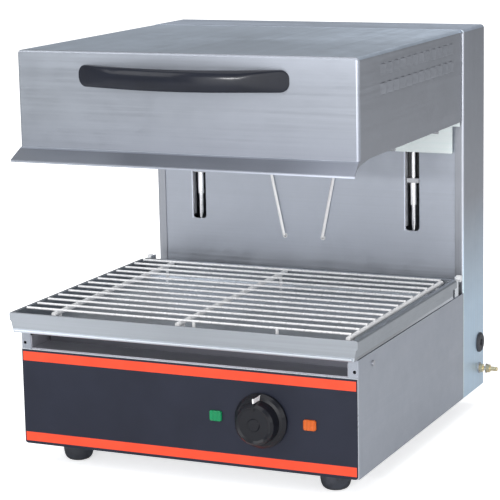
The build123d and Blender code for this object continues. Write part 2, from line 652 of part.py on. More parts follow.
# -------------------------------------------------------------------------- head
with BuildPart() as head_cover:
    cover_y = HEAD_Y0 + FRONT_RETURN + SEAM
    hood(HEAD_HALF, HEAD_Z0, HEAD_Z1, cover_y, HEAD_Y1, BEND_R)
    for side in (-1, 1):
        inner_x = side * (HEAD_HALF - SHEET)
        block(inner_x, side * (HEAD_HALF - COVER_FLANGE), cover_y, HEAD_REAR_Y - SHEET, HEAD_Z0, HEAD_Z0 + SHEET)
    with BuildSketch(Plane.YZ.offset(-HEAD_HALF - 1)) as vents:
        for z in VENT_Z:
            for i in range(VENT_COUNT):
                with Locations((VENT_Y0 + i * VENT_PITCH + VENT_L / 2, z)):
                    Rectangle(VENT_L, VENT_H)
    extrude(vents.sketch, amount=2 * HEAD_HALF + 2, mode=Mode.SUBTRACT)
    for z in VENT_Z:
        with BuildSketch(Plane.XY.offset(z - VENT_H / 2)) as blades:
            for side in (-1, 1):
                x_in = side * (HEAD_HALF - SHEET)
                x_out = side * HEAD_HALF
                x_tip = side * (HEAD_HALF + VENT_OUT)
                x_back = side * (HEAD_HALF + VENT_OUT - 0.9)
                for i in range(VENT_COUNT):
                    y = VENT_Y0 + i * VENT_PITCH
                    with BuildLine():
                        Polyline(
                            (x_in, y),
                            (x_out, y),
                            (x_tip, y + VENT_L - 3),
                            (x_tip, y + VENT_L),
                            (x_back, y + VENT_L),
                            (x_back, y + VENT_L - 3),
                            (x_in, y + 1.5),
                            close=True,
                        )
                    make_face()
        extrude(blades.sketch, amount=VENT_H)
save(head_cover, "head_cover")

with BuildPart() as head_front_panel:
    upright(-HEAD_HALF, HEAD_HALF, HEAD_Z0, HEAD_Z1, HEAD_Y0, HEAD_Y0 + FRONT_RETURN, top_r=BEND_R)
    front_rim = head_front_panel.edges().filter_by_position(Axis.Y, HEAD_Y0 - 0.01, HEAD_Y0 + 0.01)
    fillet([e for e in front_rim if e.center().Z > HEAD_Z0 + 1], CORNER_R)
    upright(-HEAD_HALF + SHEET, HEAD_HALF - SHEET, HEAD_Z0 - 1, HEAD_Z1 - SHEET,
            HEAD_Y0 + SHEET, HEAD_Y0 + FRONT_RETURN + 1, top_r=BEND_R - SHEET, mode=Mode.SUBTRACT)
    for side in (-1, 1):
        x = side * (HEAD_HALF - SHEET)
        block(x - side * SHEET, x, HEAD_Y0 + SHEET, HEAD_Y0 + FRONT_TAB, HEAD_Z0 + 4, HEAD_Z1 - 8)
    for side in (-1, 1):
        rod_y(side * HANDLE_SCREW_X, HANDLE_Z, HEAD_Y0 - 1, HEAD_Y0 + 3, HANDLE_SCREW_D, Mode.SUBTRACT)
    lip_top = HEAD_Z0 + 0.8
    lip_z = HEAD_Z0 - LIP_DROP
    lip_y = HEAD_Y0 - LIP_OUT
    with BuildSketch(Plane.XY.offset(lip_top)) as lip_root:
        with Locations((0, HEAD_Y0 + SHEET / 2)):
            Rectangle(2 * HEAD_HALF, SHEET)
    with BuildSketch(Plane.XY.offset(lip_z)) as lip_edge:
        with Locations((0, lip_y + SHEET / 2 + 0.4)):
            Rectangle(2 * (HEAD_HALF + LIP_WIDEN), SHEET + 0.8)
    loft([lip_root.sketch, lip_edge.sketch], ruled=True)
    block(-HEAD_HALF - LIP_WIDEN, HEAD_HALF + LIP_WIDEN, lip_y, lip_y + SHEET, lip_z - LIP_HEM, lip_z)
save(head_front_panel, "head_front_panel")

with BuildPart() as head_rear_panel:
    upright(-HEAD_HALF + SHEET, HEAD_HALF - SHEET, HEAD_Z0 - 6, HEAD_Z1 - SHEET,
            HEAD_REAR_Y - SHEET, HEAD_REAR_Y, top_r=BEND_R - SHEET)
    upright(-SHIELD_HALF, SHIELD_HALF, SHIELD_Z, HEAD_Z0, HEAD_REAR_Y - SHEET, HEAD_REAR_Y, low_r=2)
    for side in (-1, 1):
        rod_y(LIFT_X + side * LEAD_HIGH_X, LEAD_HIGH_Z, HEAD_REAR_Y - 3, HEAD_REAR_Y + 1, GLAND_D - 2 * COLLAR,
              Mode.SUBTRACT)
save(head_rear_panel, "head_rear_panel")

with BuildPart() as reflector:
    skirt_z = HEAD_Z0 + SHEET
    block(-REFL_HALF, REFL_HALF, REFL_Y0, REFL_Y1, REFL_Z, REFL_Z + REFL_T)
    for side in (-1, 1):
        wall = (
            (side * REFL_HALF, REFL_Z + REFL_T),
            (side * (REFL_HALF - REFL_T), REFL_Z),
            (side * (REFL_HALF + REFL_SPREAD), skirt_z),
            (side * (HEAD_HALF - SHEET), skirt_z),
            (side * (HEAD_HALF - SHEET), skirt_z + SHEET),
            (side * (REFL_HALF + REFL_SPREAD + 1), skirt_z + SHEET),
        )
        profile_y(wall, REFL_Y0, REFL_Y1)
    for y0, y1 in ((REFL_Y0, REFL_Y0 - REFL_SPREAD - 1), (REFL_Y1, REFL_Y1 + REFL_SPREAD - 2)):
        end_wall = (
            (y0, REFL_Z + REFL_T),
            (y0, REFL_Z),
            (y1, skirt_z),
            (y1, skirt_z + SHEET + 1),
        )
        profile_x(end_wall, -REFL_HALF, REFL_HALF)
    for y in element_y():
        for leg in (-1, 1):
            rod_x(y + leg * ELEMENT_GAP / 2, ELEMENT_Z, REFL_HALF - 12, REFL_HALF + 30,
                  ELEMENT_D + 2 * ELEMENT_BUSH_WALL, Mode.SUBTRACT)
save(reflector, "reflector")

with BuildPart() as heating_elements:
    bend_x = -ELEMENT_X + ELEMENT_GAP / 2
    for y in element_y():
        for leg in (-1, 1):
            rod_x(y + leg * ELEMENT_GAP / 2, ELEMENT_Z, bend_x, ELEMENT_END, ELEMENT_D)
        bend_plane = Plane(origin=(bend_x, y, ELEMENT_Z), x_dir=(0, 1, 0), z_dir=(1, 0, 0))
        with BuildSketch(bend_plane) as tube:
            with Locations((ELEMENT_GAP / 2, 0)):
                Circle(ELEMENT_D / 2)
        revolve(tube.sketch, axis=Axis((bend_x, y, ELEMENT_Z), (0, 0, 1)), revolution_arc=180)
save(heating_elements, "heating_elements")

with BuildPart() as element_bushes:
    x0 = REFL_HALF - ELEMENT_BUSH_IN
    x1 = REFL_HALF + ELEMENT_BUSH_OUT
    for y in element_y():
        for leg in (-1, 1):
            rod_x(y + leg * ELEMENT_GAP / 2, ELEMENT_Z, x0, x1, ELEMENT_D + 2 * ELEMENT_BUSH_WALL)
            rod_x(y + leg * ELEMENT_GAP / 2, ELEMENT_Z, x0 - 1, x1 + 1, ELEMENT_D, Mode.SUBTRACT)
save(element_bushes, "element_bushes")

with BuildPart() as element_hangers:
    rail_y0 = element_y()[0] - HANGER_OVER
    rail_y1 = element_y()[-1] + HANGER_OVER
    for x in HANGER_X:
        x0 = x - HANGER_T / 2
        x1 = x + HANGER_T / 2
        block(x0, x1, rail_y0, rail_y1, ELEMENT_Z - HANGER_H / 2, ELEMENT_Z + HANGER_H / 2)
        for y in element_y():
            for leg in (-1, 1):
                rod_x(y + leg * ELEMENT_GAP / 2, ELEMENT_Z, x - 2, x + 2, ELEMENT_D, Mode.SUBTRACT)
        for y in (rail_y0 + 5, (rail_y0 + rail_y1) / 2, rail_y1 - 5):
            block(x0, x1, y - 4, y + 4, ELEMENT_Z + HANGER_H / 2, REFL_Z)
save(element_hangers, "element_hangers")

with BuildPart() as insulation_pad:
    block(-REFL_HALF + PAD_MARGIN, REFL_HALF - PAD_MARGIN, REFL_Y0 + PAD_MARGIN, REFL_Y1 - PAD_MARGIN,
          REFL_Z + REFL_T, REFL_Z + REFL_T + PAD_T)
save(insulation_pad, "insulation_pad")

with BuildPart() as handle:
    inner_half = HANDLE_HALF - HANDLE_PAD
    with BuildSketch(Plane.XY.offset(HANDLE_Z - HANDLE_H / 2)) as bow:
        with BuildLine():
            ThreePointArc((-HANDLE_HALF, HEAD_Y0), (0, HEAD_Y0 - HANDLE_OUT), (HANDLE_HALF, HEAD_Y0))
            Line((HANDLE_HALF, HEAD_Y0), (inner_half, HEAD_Y0))
            ThreePointArc((inner_half, HEAD_Y0), (0, HEAD_Y0 - HANDLE_OUT + HANDLE_T), (-inner_half, HEAD_Y0))
            Line((-inner_half, HEAD_Y0), (-HANDLE_HALF, HEAD_Y0))
        make_face()
    extrude(bow.sketch, amount=HANDLE_H)
    rims = handle.edges().filter_by(GeomType.CIRCLE)
    fillet(rims, HANDLE_EDGE_R)
    upright(-HANDLE_HALF, HANDLE_HALF, HANDLE_Z - HANDLE_H / 2, HANDLE_Z + HANDLE_H / 2,
            HEAD_Y0 - HANDLE_OUT - 1, HEAD_Y0, HANDLE_END_R, HANDLE_END_R, Mode.INTERSECT)
    for side in (-1, 1):
        rod_y(side * HANDLE_SCREW_X, HANDLE_Z, HEAD_Y0 - HANDLE_SCREW_L - 0.5, HEAD_Y0 + 1, HANDLE_SCREW_D,
              Mode.SUBTRACT)
save(handle, "handle")

with BuildPart() as handle_screws:
    inside = HEAD_Y0 + SHEET
    for side in (-1, 1):
        rod_y(side * HANDLE_SCREW_X, HANDLE_Z, HEAD_Y0 - HANDLE_SCREW_L, inside, HANDLE_SCREW_D)
        rod_y(side * HANDLE_SCREW_X, HANDLE_Z, inside, inside + 3.5, 2 * HANDLE_SCREW_D)
save(handle_screws, "handle_screws")

with BuildPart() as head_side_screws:
    for side in (-1, 1):
        ends = sorted((side * (HEAD_HALF - SHEET), side * (HEAD_HALF - SHEET - 8)))
        for y in (HEAD_Y0 + 123, HEAD_Y1 - 88):
            rod_x(y, HEAD_Z0 - 2, ends[0], ends[1], 4)
save(head_side_screws, "head_side_screws")

with BuildPart() as lead_glands:
    y0 = HEAD_REAR_Y - SHEET
    for side in (-1, 1):
        x = LIFT_X + side * LEAD_HIGH_X
        rod_y(x, LEAD_HIGH_Z, y0 - 5, y0, GLAND_D)
        rod_y(x, LEAD_HIGH_Z, y0, HEAD_REAR_Y, GLAND_D - 2 * COLLAR)
        rod_y(x, LEAD_HIGH_Z, y0 - 9, HEAD_REAR_Y + 1, LEAD_D, Mode.SUBTRACT)
save(lead_glands, "lead_glands")

with BuildPart() as lead_bushings:
    for side in (-1, 1):
        x = LIFT_X + side * LEAD_LOW_X
        rod_y(x, LEAD_LOW_Z, TOWER_INNER_Y, TOWER_INNER_Y + 4, BUSHING_D)
        rod_y(x, LEAD_LOW_Z, TOWER_PANEL_Y, TOWER_INNER_Y, BUSHING_D - 2 * COLLAR)
        rod_y(x, LEAD_LOW_Z, TOWER_PANEL_Y - 1, TOWER_INNER_Y + 5, LEAD_D, Mode.SUBTRACT)
save(lead_bushings, "lead_bushings")

with BuildPart() as element_leads:
    for side in (-1, 1):
        low_x = LIFT_X + side * LEAD_LOW_X
        high_x = LIFT_X + side * LEAD_HIGH_X
        with BuildLine() as route:
            FilletPolyline(
                (low_x, TOWER_INNER_Y + 10, LEAD_LOW_Z),
                (low_x, LEAD_Y, LEAD_LOW_Z),
                (high_x, LEAD_Y, LEAD_HIGH_Z),
                (high_x, HEAD_REAR_Y - 7, LEAD_HIGH_Z),
                radius=2.4,
            )
        start = Plane(origin=route.line @ 0, z_dir=route.line % 0)
        with BuildSketch(start) as section:
            Circle(LEAD_D / 2)
        sweep(section.sketch, path=route.line)
save(element_leads, "element_leads")

# ---------------------------------------------------------------------- controls
knob_back = FRONT_Y - KNOB_GAP
with BuildPart() as knob:
    dial = (
        (0, 0),
        (KNOB_R - 1, 0),
        (KNOB_R, 1),
        (KNOB_R, 4),
        (KNOB_R - 3.5, 7.5),
        (KNOB_GRIP_R + 1.5, 8.5),
        (KNOB_GRIP_R, KNOB_DEPTH - 3),
        (KNOB_GRIP_R - 3, KNOB_DEPTH),
        (KNOB_GRIP_R - 6, KNOB_DEPTH - 1.5),
        (8, KNOB_DEPTH - 1.5),
        (7, KNOB_DEPTH),
        (0, KNOB_DEPTH),
    )
    turned((KNOB_X, knob_back, CONTROL_Z), (0, -1, 0), dial)
    upright(KNOB_X - 0.9, KNOB_X + 0.9, CONTROL_Z + KNOB_GRIP_R - 8, CONTROL_Z + KNOB_R,
            knob_back - KNOB_DEPTH + 0.5, knob_back - 6.5)
    rod_y(KNOB_X, CONTROL_Z, knob_back - 12, knob_back + 1, SHAFT_D, Mode.SUBTRACT)
save(knob, "knob")

with BuildPart() as control_shaft:
    rod_y(KNOB_X, CONTROL_Z, knob_back - 12, SHELL_Y + 2, SHAFT_D)
save(control_shaft, "control_shaft")

with BuildPart() as energy_regulator:
    rear = SHELL_Y + 2 + REGULATOR_DEPTH
    block(KNOB_X - REGULATOR_HALF, KNOB_X + REGULATOR_HALF, SHELL_Y + 2, rear,
          CONTROL_Z - REGULATOR_RISE, CONTROL_Z + REGULATOR_RISE)
    fillet(energy_regulator.edges().filter_by(Axis.Y), 2)
    rod_y(KNOB_X, CONTROL_Z, SHELL_Y, SHELL_Y + 2, 22)
    rod_y(KNOB_X, CONTROL_Z, SHELL_Y - 1, SHELL_Y + 2, SHAFT_D + 1, Mode.SUBTRACT)
    for row in (-14, 0, 14):
        for x in (-10, 10):
            block(KNOB_X + x - 3, KNOB_X + x + 3, rear, rear + 8, CONTROL_Z + row, CONTROL_Z + row + 0.8)
save(energy_regulator, "energy_regulator")

for x, name in zip(LAMP_X, ("green_lamp", "orange_lamp")):
    with BuildPart() as lamp:
        upright(x - LAMP_W / 2, x + LAMP_W / 2, CONTROL_Z - LAMP_H / 2, CONTROL_Z + LAMP_H / 2,
                FRONT_Y - 3, FRONT_Y, 2.5, 2.5)
        fillet(lamp.faces().sort_by(Axis.Y)[0].edges(), 1.2)
        rod_y(x, CONTROL_Z, FRONT_Y, SHELL_Y + 6, LAMP_HOLE_D)
    save(lamp, name)

with BuildPart() as lamp_housings:
    for x in LAMP_X:
        rod_y(x, CONTROL_Z, SHELL_Y, SHELL_Y + 22, LAMP_HOLE_D + 5)
        rod_y(x, CONTROL_Z, SHELL_Y - 1, SHELL_Y + 6, LAMP_HOLE_D, Mode.SUBTRACT)
        for dx in (-4, 4):
            block(x + dx - 0.4, x + dx + 0.4, SHELL_Y + 22, SHELL_Y + 30, CONTROL_Z - 2, CONTROL_Z + 2)
save(lamp_housings, "lamp_housings")

# ------------------------------------------------------------------- supply side
with BuildPart() as cable_grommet:
    x0 = HALF_W
    flange = (
        (INLET_BORE_D / 2, 0),
        (INLET_D / 2, 0),
        (INLET_D / 2, 1.6),
        (INLET_D / 2 - 2, 3.4),
        (INLET_BORE_D / 2 + 1, 3.4),
        (INLET_BORE_D / 2, 2.6),
    )
    turned((x0, INLET_Y, INLET_Z), (1, 0, 0), flange)
    rod_x(INLET_Y, INLET_Z, x0 - 7, x0, INLET_HOLE_D)
    rod_x(INLET_Y, INLET_Z, x0 - 8, x0 + 5, INLET_BORE_D, Mode.SUBTRACT)
save(cable_grommet, "cable_grommet")

first_nut = HALF_W + WASHER_T
second_nut = HALF_W + 11
with BuildPart() as earth_stud:
    rod_x(INLET_Y, STUD_Z, INNER_W - STUD_HEAD, STUD_TIP - 1, STUD_CORE_D)
    rod_x(INLET_Y, STUD_Z, second_nut + NUT_H + STUD_RELIEF, STUD_TIP, STUD_D)
    chamfer(earth_stud.faces().sort_by(Axis.X)[-1].edges(), 0.8)
    with BuildSketch(Plane.YZ.offset(INNER_W - STUD_HEAD)) as hexagon:
        with Locations((INLET_Y, STUD_Z)):
            RegularPolygon(NUT_R, 6)
    extrude(hexagon.sketch, amount=STUD_HEAD)
save(earth_stud, "earth_stud")

with BuildPart() as earth_nuts:
    for x0 in (first_nut, second_nut):
        with BuildSketch(Plane.YZ.offset(x0)) as hexagon:
            with Locations((INLET_Y, STUD_Z)):
                RegularPolygon(NUT_R, 6)
        extrude(hexagon.sketch, amount=NUT_H)
    rod_x(INLET_Y, STUD_Z, HALF_W, second_nut + NUT_H + 1, STUD_CORE_D, Mode.SUBTRACT)
save(earth_nuts, "earth_nuts")

with BuildPart() as earth_washers:
    rod_x(INLET_Y, STUD_Z, HALF_W, first_nut, 15)
    rod_x(INLET_Y, STUD_Z, second_nut - WASHER_T, second_nut, 13)
    rod_x(INLET_Y, STUD_Z, HALF_W - 1, second_nut + 1, STUD_CORE_D, Mode.SUBTRACT)
save(earth_washers, "earth_washers")

with BuildPart() as terminal_block:
    floor_z = BASE_Z + SHEET
    x1 = TERMINAL_X + TERMINAL_PITCH * TERMINAL_COUNT
    block(TERMINAL_X, x1, TERMINAL_Y0, TERMINAL_Y1, floor_z, floor_z + 6)
    for i in range(TERMINAL_COUNT):
        x = TERMINAL_X + TERMINAL_PITCH * i
        block(x + 1, x + TERMINAL_PITCH - 1, TERMINAL_Y0 + 2, TERMINAL_Y1 - 2, floor_z + 6, floor_z + 20)
        rod_z(x + TERMINAL_PITCH / 2, (TERMINAL_Y0 + TERMINAL_Y1) / 2, floor_z + 12, floor_z + 22, 5, Mode.SUBTRACT)
save(terminal_block, "terminal_block")

# -------------------------------------------------------------------------- feet
with BuildPart() as feet:
    for x in (-FOOT_X, FOOT_X):
        for y in (-FOOT_Y, FOOT_Y):
            body = (
                (0, 0),
                (FOOT_D / 2 - FOOT_TAPER, 0),
                (FOOT_D / 2, FOOT_H - 5),
                (FOOT_D / 2, FOOT_H),
                (0, FOOT_H),
            )
            turned((x, y, 0), (0, 0, 1), body)
    fillet(feet.edges().filter_by(GeomType.CIRCLE).group_by(Axis.Z)[0], FOOT_ROUND)
    for x in (-FOOT_X, FOOT_X):
        for y in (-FOOT_Y, FOOT_Y):
            rod_z(x, y, FOOT_H - FOOT_BOLT_L - 1, FOOT_H + 1, FOOT_BOLT_D, Mode.SUBTRACT)
save(feet, "feet")

with BuildPart() as foot_bolts:
    for x in (-FOOT_X, FOOT_X):
        for y in (-FOOT_Y, FOOT_Y):
            rod_z(x, y, FOOT_H - FOOT_BOLT_L, BASE_Z + SHEET, FOOT_BOLT_D)
            rod_z(x, y, BASE_Z + SHEET, BASE_Z + SHEET + 3, FOOT_NUT_D)
save(foot_bolts, "foot_bolts")
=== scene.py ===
import json
import math

import bmesh
import bpy
from mathutils import Matrix, Vector


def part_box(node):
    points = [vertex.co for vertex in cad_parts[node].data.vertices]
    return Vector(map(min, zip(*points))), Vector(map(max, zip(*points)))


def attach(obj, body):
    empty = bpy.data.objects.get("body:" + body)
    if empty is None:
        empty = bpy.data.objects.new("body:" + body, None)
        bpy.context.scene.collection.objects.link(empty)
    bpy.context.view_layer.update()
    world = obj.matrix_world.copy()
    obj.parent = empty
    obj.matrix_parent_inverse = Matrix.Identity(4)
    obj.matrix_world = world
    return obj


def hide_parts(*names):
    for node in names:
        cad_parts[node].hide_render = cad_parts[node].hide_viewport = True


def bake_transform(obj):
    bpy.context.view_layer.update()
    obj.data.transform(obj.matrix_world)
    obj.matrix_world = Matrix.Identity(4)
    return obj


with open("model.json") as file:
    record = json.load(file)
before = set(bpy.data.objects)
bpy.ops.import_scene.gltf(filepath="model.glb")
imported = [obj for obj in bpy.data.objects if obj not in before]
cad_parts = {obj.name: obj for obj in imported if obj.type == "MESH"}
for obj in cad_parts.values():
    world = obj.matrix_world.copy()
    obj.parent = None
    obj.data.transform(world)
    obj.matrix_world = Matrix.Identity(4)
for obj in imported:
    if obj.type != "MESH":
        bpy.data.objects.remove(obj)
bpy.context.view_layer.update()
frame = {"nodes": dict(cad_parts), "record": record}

scene = bpy.context.scene
scene.view_settings.view_transform = "Standard"

# ------------------------------------------------------------------ places, in metres
# X is to the right, Y to the back and Z up from the plane the feet stand on.
SHEET = 0.0012
LIFT_X = -0.004  # the lift's middle, left of the housing's

HANDLE_LOW, HANDLE_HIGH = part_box("handle")
HEAD_FRONT_Y = HANDLE_HIGH.y  # the handle's feet lie flat on the head's front
HEAD_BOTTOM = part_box("head_cover")[0].z
HEAD_INSIDE_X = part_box("head_rear_panel")[1].x
LIP_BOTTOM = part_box("head_front_panel")[0].z

DIAL_LOW, DIAL_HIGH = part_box("knob")
DIAL_MIDDLE = (DIAL_LOW + DIAL_HIGH) / 2
DIAL_RADIUS = DIAL_HIGH.z - DIAL_MIDDLE.z

FOOT_PLACES = sorted(
    tuple(mount["pos_m"][:2]) for mount in frame["record"]["mounts"] if mount["name"].startswith("foot_"))

# ------------------------------------------------------------------ camera
CAM_AZ = math.radians(24.38)
CAM_EL = math.radians(11.03)
CAM_ROLL = math.radians(-1.15)
CAM_POS = Vector((1.05418, -2.36224, 0.75019))
CAM_LENS = 146.14
SENSOR_WIDTH = 36.0


def make_camera():
    level = math.cos(CAM_EL)
    ahead = Vector((-math.sin(CAM_AZ) * level, math.cos(CAM_AZ) * level, -math.sin(CAM_EL)))
    right = ahead.cross(Vector((0, 0, 1))).normalized()
    up = right.cross(ahead)
    c, s = math.cos(CAM_ROLL), math.sin(CAM_ROLL)
    right, up = c * right + s * up, -s * right + c * up
    data = bpy.data.cameras.new("camera")
    data.lens = CAM_LENS
    data.sensor_width = SENSOR_WIDTH
    data.clip_start, data.clip_end = 0.05, 60
    cam = bpy.data.objects.new("camera", data)
    scene.collection.objects.link(cam)
    turn = Matrix((right, up, -ahead)).transposed().to_4x4()
    cam.matrix_world = Matrix.Translation(CAM_POS) @ turn
    scene.camera = cam


make_camera()

# ------------------------------------------------------------------ shader helpers
FAR = 9.0  # a limit this far out isn't tested


class Nodes:
    """Adds and links the shader nodes of one material."""

    def __init__(self, name):
        self.mat = bpy.data.materials.new(name)
        self.mat.use_nodes = True
        self.tree = self.mat.node_tree
        self.bsdf = self.tree.nodes["Principled BSDF"]
        self.coords = self.add("ShaderNodeTexCoord").outputs["Object"]
        self.split = None

    def add(self, kind, **settings):
        node = self.tree.nodes.new(kind)
        for key, value in settings.items():
            setattr(node, key, value)
        return node

    def link(self, a, b):
        self.tree.links.new(a, b)

    def stretch(self, scale):
        node = self.add("ShaderNodeMapping")
        node.inputs["Scale"].default_value = scale
        self.link(self.coords, node.inputs["Vector"])
        return node.outputs["Vector"]

    def noise(self, scale, detail=3.0, rough=0.55, vector=None):
        node = self.add("ShaderNodeTexNoise")
        node.inputs["Scale"].default_value = scale
        node.inputs["Detail"].default_value = detail
        node.inputs["Roughness"].default_value = rough
        self.link(vector or self.coords, node.inputs["Vector"])
        return node.outputs["Fac"]

    def bands(self, direction, scale, distortion=0.0):
        node = self.add("ShaderNodeTexWave", wave_type="BANDS", bands_direction=direction)
        node.inputs["Scale"].default_value = scale
        node.inputs["Distortion"].default_value = distortion
        self.link(self.coords, node.inputs["Vector"])
        return node.outputs["Fac"]

    def spread(self, value, low, high, from_low=0.3, from_high=0.7):
        node = self.add("ShaderNodeMapRange")
        node.inputs["From Min"].default_value = from_low
        node.inputs["From Max"].default_value = from_high
        node.inputs["To Min"].default_value = low
        node.inputs["To Max"].default_value = high
        self.link(value, node.inputs["Value"])
        return node.outputs["Result"]

    def math(self, kind, a, b):
        node = self.add("ShaderNodeMath", operation=kind)
        for socket, value in zip(node.inputs, (a, b)):
            if isinstance(value, (int, float)):
                socket.default_value = value
            else:
                self.link(value, socket)
        return node.outputs[0]

    def mix(self, factor, a, b):
        node = self.add("ShaderNodeMix", data_type="RGBA")
        for socket, value in ((node.inputs[0], factor), (node.inputs[6], a), (node.inputs[7], b)):
            if isinstance(value, tuple):
                socket.default_value = (*value, 1)
            else:
                self.link(value, socket)
        return node.outputs[2]

    def scaled(self, tone, gain):
        """The tone times a gain, which is one number or one for each of red, green and blue."""
        node = self.add("ShaderNodeMix", data_type="RGBA", blend_type="MULTIPLY")
        node.inputs[0].default_value = 1.0
        self.link(tone, node.inputs[6])
        gains = gain if isinstance(gain, tuple) else (gain, gain, gain)
        node.inputs[7].default_value = (*gains, 1)
        return node.outputs[2]

    def bump(self, height, strength, distance, edge=0.0):
        """Relief from a height, over edges that look rounded to the given radius."""
        node = self.add("ShaderNodeBump")
        node.inputs["Strength"].default_value = strength
        node.inputs["Distance"].default_value = distance
        self.link(height, node.inputs["Height"])
        if edge:
            soft = self.add("ShaderNodeBevel", samples=4)
            soft.inputs["Radius"].default_value = edge
            self.link(soft.outputs[0], node.inputs["Normal"])
        self.link(node.outputs[0], self.bsdf.inputs["Normal"])

    def along(self, axis):
        if self.split is None:
            self.split = self.add("ShaderNodeSeparateXYZ")
            self.link(self.coords, self.split.inputs[0])
        return self.split.outputs[axis.upper()]

    def zone(self, **limits):
        """A mask that is 1 inside the given range of object x, y and z."""
        mask = None
        for axis, (low, high) in limits.items():
            for kind, limit in (("GREATER_THAN", low), ("LESS_THAN", high)):
                if abs(limit) < FAR:
                    step = self.math(kind, self.along(axis), limit)
                    mask = step if mask is None else self.math("MULTIPLY", mask, step)
        return mask

    def fade(self, axis, start, end):
        """A mask that rises evenly from 0 at start to 1 at end along one axis."""
        return self.spread(self.along(axis), 0, 1, start, end)

    def colour(self, socket):
        self.link(socket, self.bsdf.inputs["Base Color"])

    def roughness(self, socket):
        self.link(socket, self.bsdf.inputs["Roughness"])

    def fix(self, **values):
        """Set plain sockets of the shader, with _ for each space in a socket's name."""
        for name, value in values.items():
            self.bsdf.inputs[name.replace("_", " ")].default_value = value


def shade(colour, k):
    return tuple(min(1.0, c * k) for c in colour)


# ------------------------------------------------------------------ kinds of material
GRAIN = {"x": (3, 420, 420), "y": (420, 3, 420), "z": (420, 420, 3)}
BAND_SHARE = 0.16  # how fine the broad streaks are beside the fine grain


def steel(name, colour, rough, grain="x", metallic=0.85, streak=0.10, painted_light_zones=(), painted_light_fades=()):
    """Brushed sheet with fine grain, broad streaks and smudges.

    A fade is (axis, start, end, gain). A zone is (limits, gain), and its mask fades where an axis, a start
    and an end follow. Fades and zones paint light and shade into the colour: highlights, lit faces and shaded
    ones.
    """
    n = Nodes(name)
    fine = n.noise(1.0, 3, 0.6, n.stretch(GRAIN[grain]))
    broad = n.noise(1.0, 2, 0.5, n.stretch(tuple(v * BAND_SHARE for v in GRAIN[grain])))
    cloud = n.noise(7.0, 3, 0.6)
    smudge = n.noise(38.0, 4, 0.65)
    lines = n.mix(n.spread(fine, 0, 1), shade(colour, 1 - streak), shade(colour, 1 + streak))
    bands = n.mix(n.spread(broad, 0, 0.5), lines, shade(colour, 1 + streak * 0.7))
    tone = n.mix(n.spread(cloud, 0, 0.32), bands, shade(colour, 0.86))
    for axis, start, end, gain in painted_light_fades:
        tone = n.mix(n.fade(axis, start, end), tone, n.scaled(tone, gain))
    for limits, gain, *ramp in painted_light_zones:
        mask = n.zone(**limits)
        if ramp:
            mask = n.math("MULTIPLY", mask, n.fade(*ramp))
        tone = n.mix(mask, tone, n.scaled(tone, gain))
    n.colour(tone)
    ragged = n.spread(fine, rough - 0.07, rough + 0.07)
    n.roughness(n.math("ADD", ragged, n.spread(smudge, -0.04, 0.07)))
    n.bump(fine, 0.12, 0.0002, edge=0.0006)
    n.fix(Metallic=metallic, Anisotropic=0.25)
    return n.mat


def plated(name, colour, rough=0.12, edge=0.0, metallic=1.0):
    """Chrome, brass and bright wire, under a thin uneven film."""
    n = Nodes(name)
    n.colour(n.mix(n.spread(n.noise(60, 3, 0.6), 0, 1), shade(colour, 0.88), colour))
    n.roughness(n.spread(n.noise(140, 2), rough * 0.7, rough * 1.8))
    n.bump(n.noise(420, 2), 0.04, 0.0002, edge)
    n.fix(Metallic=metallic)
    return n.mat


def plastic(name, colour, rough, coat=0.0, coat_rough=0.06, marks=(), shine=0.5):
    """Moulded plastic with scuffs; a mark is (limits, colour) and is painted on."""
    n = Nodes(name)
    scuff = n.noise(1.0, 3, 0.7, n.stretch((60, 400, 60)))
    tint = n.mix(n.spread(n.noise(25, 3, 0.6), 0, 1), shade(colour, 0.85), shade(colour, 1.15))
    for limits, paint in marks:
        tint = n.mix(n.zone(**limits), tint, paint)
    n.colour(tint)
    n.roughness(n.spread(scuff, rough * 0.8, rough * 1.25))
    n.bump(n.noise(700, 2), 0.05, 0.0002, edge=0.0004)
    n.fix(Specular_IOR_Level=shine)
    if coat:
        n.fix(Coat_Weight=coat, Coat_Roughness=coat_rough)
    return n.mat


def lens(name, colour, deep):
    """A ribbed lamp lens."""
    n = Nodes(name)
    ribs = n.bands("X", 180)
    n.colour(n.mix(ribs, deep, colour))
    n.roughness(n.spread(n.noise(90, 2), 0.12, 0.3))
    n.bump(ribs, 0.15, 0.0003)
    n.fix(Specular_IOR_Level=0.25, Coat_Weight=0.25, Coat_Roughness=0.08)
    n.fix(Subsurface_Weight=0.15, Subsurface_Radius=(0.004, 0.004, 0.004))
    return n.mat


def rubber(name, colour, coat=0.0):
    """Dusty moulded rubber."""
    n = Nodes(name)
    dust = n.spread(n.noise(45, 4, 0.7), 0, 1, 0.45, 0.75)
    n.colour(n.mix(dust, colour, shade(colour, 2.2)))
    n.roughness(n.spread(n.noise(80, 3), 0.5, 0.75))
    n.bump(n.noise(600, 3), 0.15, 0.0003, edge=0.0006)
    n.fix(Coat_Weight=coat, Coat_Roughness=0.2)
    return n.mat


# ------------------------------------------------------------------ single materials
FASCIA_BLACK = (0.017, 0.020, 0.034)
STRIPE_RED = (0.86, 0.078, 0.033)
STRIPE_HALF_WIDTH = 0.2225
STRIPE_HEIGHTS = ((0.0325, 0.0440), (0.1360, 0.1477))


